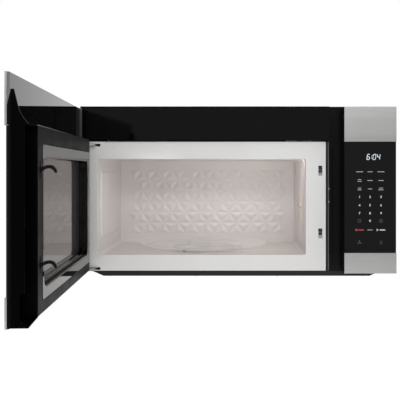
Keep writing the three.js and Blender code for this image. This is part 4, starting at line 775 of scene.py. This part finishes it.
def buildKeyBars():
    bars = []
    high, rise = keyBars["doubledHeight"], keyBars["doubledRise"]
    for row, z in enumerate(legend["wordRows"]):
        for column, x in enumerate(legend["columns"]):
            width = keyBars["widths"][row][column]
            if (row, column) in keyBars["doubled"]:
                bars.append(barOutline(x, z + rise, width * keyBars["upperShare"], high))
                bars.append(barOutline(x, z - rise, width, high))
            else:
                bars.append(barOutline(x, z, width, keyBars["height"]))
    bars.append(barOutline(legend["columns"][1], legend["markRow"], *keyBars["markBar"]))
    marks("keyBars", bars, paleInk)


# each bar is an offset from its key's middle to the right and up, a width and a height
keyMarks = {
    "bar": (0.0035, 0, 0.0130, 0.0030), "stop": (-0.0075, 0, 0.0050, 0.0052),
    "start": ((-0.0105, -0.0030), (-0.0050, 0), (-0.0105, 0.0030)),
    "ring": (0.0042, 0.0006), "dash": (0, 0, 0.0036, 0.0006), "crossDash": (0, 0, 0.0006, 0.0036),
    "blade": ((0.0008, -0.0004), (0.0044, -0.0014), (0.0046, 0.0010), (0.0012, 0.0008)),
    "blades": 3, "bulb": (0.0028, 0.0006), "bulbRise": 0.0010,
    "bulbFoot": ((0, -0.0029, 0.0026, 0.0006), (0, -0.0043, 0.0018, 0.0006)),
}


def keyBar(x, z, bar):
    return barOutline(x + bar[0], z + bar[1], bar[2], bar[3])


def buildKeyMarks():
    left, _, right = legend["columns"]
    z, low, lamp = legend["markRow"], legend["figureRows"][3], legend["lightRow"]
    marks("startMark", [keyBar(right, z, keyMarks["bar"]),
                        [(right + x, z + up) for x, up in keyMarks["start"]]], paleInk)
    marks("stopMark", [keyBar(left, z, keyMarks["bar"]), keyBar(left, z, keyMarks["stop"])], redInk)
    faint = ringOutlines(left, low, *keyMarks["ring"]) + ringOutlines(right, low, *keyMarks["ring"])
    faint += [keyBar(left, low, keyMarks["dash"]), keyBar(right, low, keyMarks["dash"]),
              keyBar(right, low, keyMarks["crossDash"])]
    for turn in range(keyMarks["blades"]):
        angle = math.pi / 2 + 2 * math.pi * turn / keyMarks["blades"]
        side, up = math.cos(angle), math.sin(angle)
        faint.append([(left + side * a - up * b, lamp + up * a + side * b)
                      for a, b in keyMarks["blade"]])
    faint += ringOutlines(right, lamp + keyMarks["bulbRise"], *keyMarks["bulb"])
    faint += [keyBar(right, lamp, foot) for foot in keyMarks["bulbFoot"]]
    marks("faintMarks", faint, dimInk)


figure = {"height": 0.0072, "bold": 0.00018, "smoothness": 4, "weld": 1e-6, "sliverArea": 1e-12}


# joins the slivers that a letter's fill leaves on a straight edge to the faces beside them
def cleanFill(mesh):
    form = bmesh.new()
    form.from_mesh(mesh)
    bmesh.ops.remove_doubles(form, verts=form.verts, dist=figure["weld"])
    slivers = [face for face in form.faces if face.calc_area() < figure["sliverArea"]]
    longest = {max(face.edges, key=lambda edge: edge.calc_length()) for face in slivers}
    bmesh.ops.dissolve_edges(form, edges=list(longest), use_verts=False)
    bmesh.ops.triangulate(form, faces=form.faces)
    bmesh.ops.recalc_face_normals(form, faces=form.faces)
    form.to_mesh(mesh)
    form.free()


def figureMesh(name, sign, x, z):
    curve = bpy.data.curves.new(name, "FONT")
    curve.body = sign
    curve.size = figure["height"]
    curve.align_x = "CENTER"
    curve.align_y = "CENTER"
    curve.extrude = legend["thick"] / 2
    curve.offset = figure["bold"]
    curve.resolution_u = figure["smoothness"]
    holder = bpy.data.objects.new(name, curve)
    mesh = bpy.data.meshes.new_from_object(holder)
    cleanFill(mesh)
    mesh.transform(Matrix.Translation((x, panelFace - legend["thick"] / 2, z))
                   @ Matrix.Rotation(math.pi / 2, 4, "X"))
    bpy.data.objects.remove(holder)
    bpy.data.curves.remove(curve)
    mesh.materials.clear()
    mesh.materials.append(figureInk)
    ridden(name, mesh, "cabinet")


def buildFigures():
    rows = legend["figureRows"]
    places = [(x, z) for z in rows[:3] for x in legend["columns"]]
    places.append((legend["columns"][1], rows[3]))
    for index, (sign, place) in enumerate(zip("1234567890", places)):
        figureMesh(f"keyFigure{index}", sign, *place)


buildClock()
buildKeyBars()
buildKeyMarks()
buildFigures()
print("clock and keypad made")


# a tree that takes points, named lengths and a material, and gives back a mesh
class Growth:
    def __init__(self, name, lengths):
        self.tree = bpy.data.node_groups.new(name, "GeometryNodeTree")
        self.socket("Points", "INPUT", "NodeSocketGeometry")
        for label, value in lengths.items():
            self.socket(label, "INPUT", "NodeSocketFloat").default_value = value
        self.socket("Metal", "INPUT", "NodeSocketMaterial")
        self.socket("Mesh", "OUTPUT", "NodeSocketGeometry")
        self.entry = self.add("NodeGroupInput").outputs

    def socket(self, label, side, kind):
        return self.tree.interface.new_socket(label, in_out=side, socket_type=kind)

    def add(self, kind, settings=None, inputs=None):
        made = self.tree.nodes.new(kind)
        for key, value in (settings or {}).items():
            setattr(made, key, value)
        for key, value in (inputs or {}).items():
            if isinstance(value, bpy.types.NodeSocket):
                self.tree.links.new(value, made.inputs[key])
            else:
                made.inputs[key].default_value = value
        return made

    def math(self, operation, first, second):
        return self.add("ShaderNodeMath", {"operation": operation},
                        {0: first, 1: second}).outputs[0]

    def vector(self, **parts):
        return self.add("ShaderNodeCombineXYZ", None, parts).outputs[0]

    def bar(self, x, y, z):
        size = self.vector(X=x, Y=y, Z=z)
        return self.add("GeometryNodeMeshCube", None, {"Size": size}).outputs["Mesh"]

    def moved(self, shape, **moves):
        return self.add("GeometryNodeTransform", None, {"Geometry": shape, **moves}).outputs[0]

    def close(self, shape, rotation=None):
        inputs = {"Points": self.entry["Points"], "Instance": shape}
        if rotation:
            inputs["Rotation"] = rotation
        placed = self.add("GeometryNodeInstanceOnPoints", None, inputs)
        real = self.add("GeometryNodeRealizeInstances", None, {"Geometry": placed.outputs[0]})
        metal = self.add("GeometryNodeSetMaterial", None, {
            "Geometry": real.outputs[0], "Material": self.entry["Metal"]})
        self.tree.links.new(metal.outputs[0], self.add("NodeGroupOutput").inputs["Mesh"])
        return self.tree


screwHead = {"radius": 0.0040, "height": 0.0010, "slot": 0.0011, "sides": 16, "topShare": 0.72,
             "slotShare": 1.2}


# a cross-slotted head on each point
def screwTree():
    sizes = {"Head Radius": screwHead["radius"], "Head Height": screwHead["height"],
             "Slot Width": screwHead["slot"]}
    growth = Growth("screwHeads", sizes)
    radius, height, width = (growth.entry[key] for key in sizes)
    head = growth.add("GeometryNodeMeshCone", {"fill_type": "NGON"}, {
        "Vertices": screwHead["sides"], "Depth": height, "Radius Bottom": radius,
        "Radius Top": growth.math("MULTIPLY", radius, screwHead["topShare"])})
    length = growth.math("MULTIPLY", radius, screwHead["slotShare"])
    lift = growth.vector(Z=height)
    carved = growth.add("GeometryNodeMeshBoolean", {"operation": "DIFFERENCE", "solver": "EXACT"}, {
        0: head.outputs["Mesh"], "Self Intersection": True})
    for x, y in ((length, width), (width, length)):
        slot = growth.moved(growth.bar(x, y, height), Translation=lift)
        growth.tree.links.new(slot, carved.inputs[1])
    aim = growth.add("GeometryNodeInputNamedAttribute", {"data_type": "FLOAT_VECTOR"},
                     {"Name": "aim"})
    turn = growth.add("FunctionNodeAlignRotationToVector", {"axis": "Z"},
                      {"Vector": aim.outputs[0]})
    return growth.close(carved.outputs[0], turn.outputs[0])


filterMesh = {"cellLength": 0.0105, "cellWidth": 0.0052, "strand": 0.0008, "rim": 0.0075,
              "rise": 0.0042}


# two crossed strands on each point, which meet the next ones and leave diamonds between them
def strandTree():
    sizes = {"Cell Length": filterMesh["cellLength"], "Cell Width": filterMesh["cellWidth"],
             "Strand": filterMesh["strand"]}
    growth = Growth("strandCrosses", sizes)
    length, width, strand = (growth.entry[key] for key in sizes)
    long = growth.add("ShaderNodeVectorMath", {"operation": "LENGTH"},
                      {0: growth.vector(X=length, Y=width)}).outputs["Value"]
    bar = growth.bar(long, strand, strand)
    lean = growth.math("ARCTAN2", width, length)
    both = growth.add("GeometryNodeJoinGeometry")
    for side in (1.0, -1.0):
        turn = growth.vector(Z=growth.math("MULTIPLY", lean, side))
        growth.tree.links.new(growth.moved(bar, Rotation=turn), both.inputs[0])
    return growth.close(both.outputs[0])


# runs a geometry tree over a cloud of points and keeps the plain mesh
def grown(name, points, tree, values, body, aims=None):
    mesh = bpy.data.meshes.new(name + "Seeds")
    mesh.from_pydata(points, [], [])
    if aims:
        layer = mesh.attributes.new("aim", "FLOAT_VECTOR", "POINT")
        for index, aim in enumerate(aims):
            layer.data[index].vector = aim
    seeds = linked(name + "Seeds", mesh)
    modifier = seeds.modifiers.new("grow", "NODES")
    modifier.node_group = tree
    sockets = {item.name: item.identifier for item in tree.interface.items_tree
               if item.in_out == "INPUT"}
    for label, value in values.items():
        modifier[sockets[label]] = value
    graph = bpy.context.evaluated_depsgraph_get()
    result = bpy.data.meshes.new_from_object(seeds.evaluated_get(graph))
    bpy.data.objects.remove(seeds)
    ridden(name, result, body)


# radius and height of each kind of head, and where they stand
screwPlaces = {
    "case": (0.0038, 0.0017), "rear": (0.0040, 0.0010), "clip": (0.0036, 0.0012),
    "topX": (-0.36, 0.36), "topY": (-0.345, -0.20, -0.03),
    "baseEnds": ((-0.31, -0.36), (-0.31, -0.012), (0.31, -0.36), (0.31, -0.012)),
    "baseFront": ((-0.1, -0.36), (0.1, -0.36)),
    "rearX": (-0.305, -0.08, 0.08, 0.305), "rearZ": (-0.132, 0.132), "clipInset": 0.009,
}
screws = screwTree()


def setScrews(name, metal, size, aim, spots):
    grown(name, spots, screws, {"Metal": metal, "Head Radius": size[0], "Head Height": size[1]},
          "cabinet", [aim] * len(spots))


def buildScrews():
    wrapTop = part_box("case_wrap")[1].z
    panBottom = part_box("base_pan")[0].z
    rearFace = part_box("rear_panel")[1].y
    low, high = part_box("waveguide_cover")
    inset = screwPlaces["clipInset"]
    setScrews("topScrews", casePaint, screwPlaces["case"], (0, 0, 1),
              [(x, y, wrapTop) for x in screwPlaces["topX"] for y in screwPlaces["topY"]])
    setScrews("baseScrews", casePaint, screwPlaces["case"], (0, 0, -1),
              [(x, y, panBottom) for x, y in screwPlaces["baseEnds"] + screwPlaces["baseFront"]])
    setScrews("rearScrews", zinc, screwPlaces["rear"], (0, 1, 0),
              [(x, rearFace, z) for x in screwPlaces["rearX"] for z in screwPlaces["rearZ"]])
    setScrews("coverClips", greyPlastic, screwPlaces["clip"], (-1, 0, 0),
              [(low.x, y, (low.z + high.z) / 2) for y in (low.y + inset, high.y - inset)])


# expanded metal over the pads of the grease filters
def buildFilterMesh():
    strands = strandTree()
    length, width = filterMesh["cellLength"], filterMesh["cellWidth"]
    for side in ("left", "right"):
        low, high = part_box("grease_filter_" + side)
        acrossX = int((high.x - low.x - 2 * filterMesh["rim"]) / length)
        acrossY = int((high.y - low.y - 2 * filterMesh["rim"]) / width)
        startX = (low.x + high.x - (acrossX - 1) * length) / 2
        startY = (low.y + high.y - (acrossY - 1) * width) / 2
        points = [(startX + column * length, startY + row * width, low.z + filterMesh["rise"])
                  for column in range(acrossX) for row in range(acrossY)]
        grown("greaseMesh" + side.capitalize(), points, strands, {"Metal": millAluminium},
              "filter_" + side)


buildScrews()
buildFilterMesh()
print("screws and filter mesh set")


room = {"floorHeight": -0.95, "size": 8.0, "backdrop": 2.6, "tones": (0.9, 0.8865), "keep": 0.64,
        "worldLight": 0.42, "worldWhite": 1.0}


# a pale surface that stays white to the eye and, where it is a backdrop, in reflections too
def stagePlane(name, corners, keep, isBackdrop):
    finish = Finish(name)
    rays = finish.node("ShaderNodeLightPath", output="Is Camera Ray")
    tone = finish.blend(finish.noise(2.0, 2), *(grey(tone) for tone in room["tones"]))
    plain = finish.node("ShaderNodeBsdfPrincipled", None, {"Base Color": tone, "Roughness": 0.9})
    white = finish.node("ShaderNodeEmission", None, {"Color": (1, 1, 1, 1), "Strength": keep})
    if isBackdrop:
        for kind in ("Is Glossy Ray", "Is Transmission Ray"):
            rays = rays.math("MAXIMUM", finish.node("ShaderNodeLightPath", output=kind))
    else:
        white = finish.node("ShaderNodeAddShader", None, {0: plain, 1: white})
    finish.finishWith(finish.node("ShaderNodeMixShader", None, {0: rays, 1: plain, 2: white}))
    mesh = bpy.data.meshes.new(name)
    mesh.from_pydata(corners, [], [(0, 1, 2, 3)])
    mesh.materials.append(finish.material)
    linked(name, mesh)


def buildRoom():
    size, floor, back = room["size"], room["floorHeight"], room["backdrop"]
    stagePlane("studioFloor", [(-size, -size, floor), (size, -size, floor), (size, back, floor),
                               (-size, back, floor)], room["keep"], False)
    stagePlane("studioBackdrop", [(-size, back, floor), (size, back, floor), (size, back, size),
                                  (-size, back, size)], 1.0, True)


# plain white to the camera, and soft grey light for everything else
def buildWorld():
    world = bpy.data.worlds.new("studio")
    bpy.context.scene.world = world
    world.use_nodes = True
    tree = world.node_tree
    tree.nodes.clear()
    path = tree.nodes.new("ShaderNodeLightPath")
    mixed = tree.nodes.new("ShaderNodeMixShader")
    tree.links.new(path.outputs["Is Camera Ray"], mixed.inputs[0])
    for slot, strength in ((1, room["worldLight"]), (2, room["worldWhite"])):
        plain = tree.nodes.new("ShaderNodeBackground")
        plain.inputs["Color"].default_value = (1, 1, 1, 1)
        plain.inputs["Strength"].default_value = strength
        tree.links.new(plain.outputs[0], mixed.inputs[slot])
    out = tree.nodes.new("ShaderNodeOutputWorld")
    tree.links.new(mixed.outputs[0], out.inputs["Surface"])


# place, aim, size, power and colour of each lamp; the last two light the oven's inside
lamps = {
    "highLamp": ((0.1, -3.1, 0.95), (0, -0.3, 0), (2.4, 0.5), 25.0, (1, 1, 1)),
    "lowLamp": ((0.1, -3.0, -0.80), (0, -0.3, 0), (2.2, 0.25), 7.5, (1, 1, 1)),
    "rightLamp": ((2.4, -1.9, 0.4), (0, -0.5, 0), (0.8, 1.4), 6.0, (1, 1, 1)),
    "ovenLamp": ((0.07, -0.350, 0.0722), (0.04, -0.12, -0.08), (0.20, 0.012), 0.16,
                 (1.0, 0.88, 0.80)),
    "ovenFill": ((-0.02, -0.345, -0.01), (-0.14, 0.0, -0.02), (0.44, 0.14), 0.155,
                 (1.0, 0.985, 0.975)),
}


def buildLamps():
    for name, (place, target, size, power, color) in lamps.items():
        lamp = bpy.data.lights.new(name, "AREA")
        lamp.shape = "RECTANGLE"
        lamp.size, lamp.size_y = size
        lamp.energy = power
        lamp.color = color
        made = linked(name, lamp)
        made.location = place
        aim = Vector(target) - Vector(place)
        made.rotation_euler = aim.to_track_quat("-Z", "Y").to_euler()


view = {"distance": 2.104, "height": 0.0425, "lens": 63.9, "sensor": 36.0,
        "shift": (-0.0913, -0.0718)}


# looks level and square at the oven, as in the photograph
def buildCamera():
    lens = bpy.data.cameras.new("photoCamera")
    lens.lens = view["lens"]
    lens.sensor_width = view["sensor"]
    lens.shift_x, lens.shift_y = view["shift"]
    camera = linked("photoCamera", lens)
    camera.location = (0, -view["distance"], view["height"])
    camera.rotation_euler = (math.pi / 2, 0, 0)
    bpy.context.scene.camera = camera


buildRoom()
buildWorld()
buildLamps()
buildCamera()
bpy.context.scene.view_settings.view_transform = "Standard"
print("room, light and camera ready")
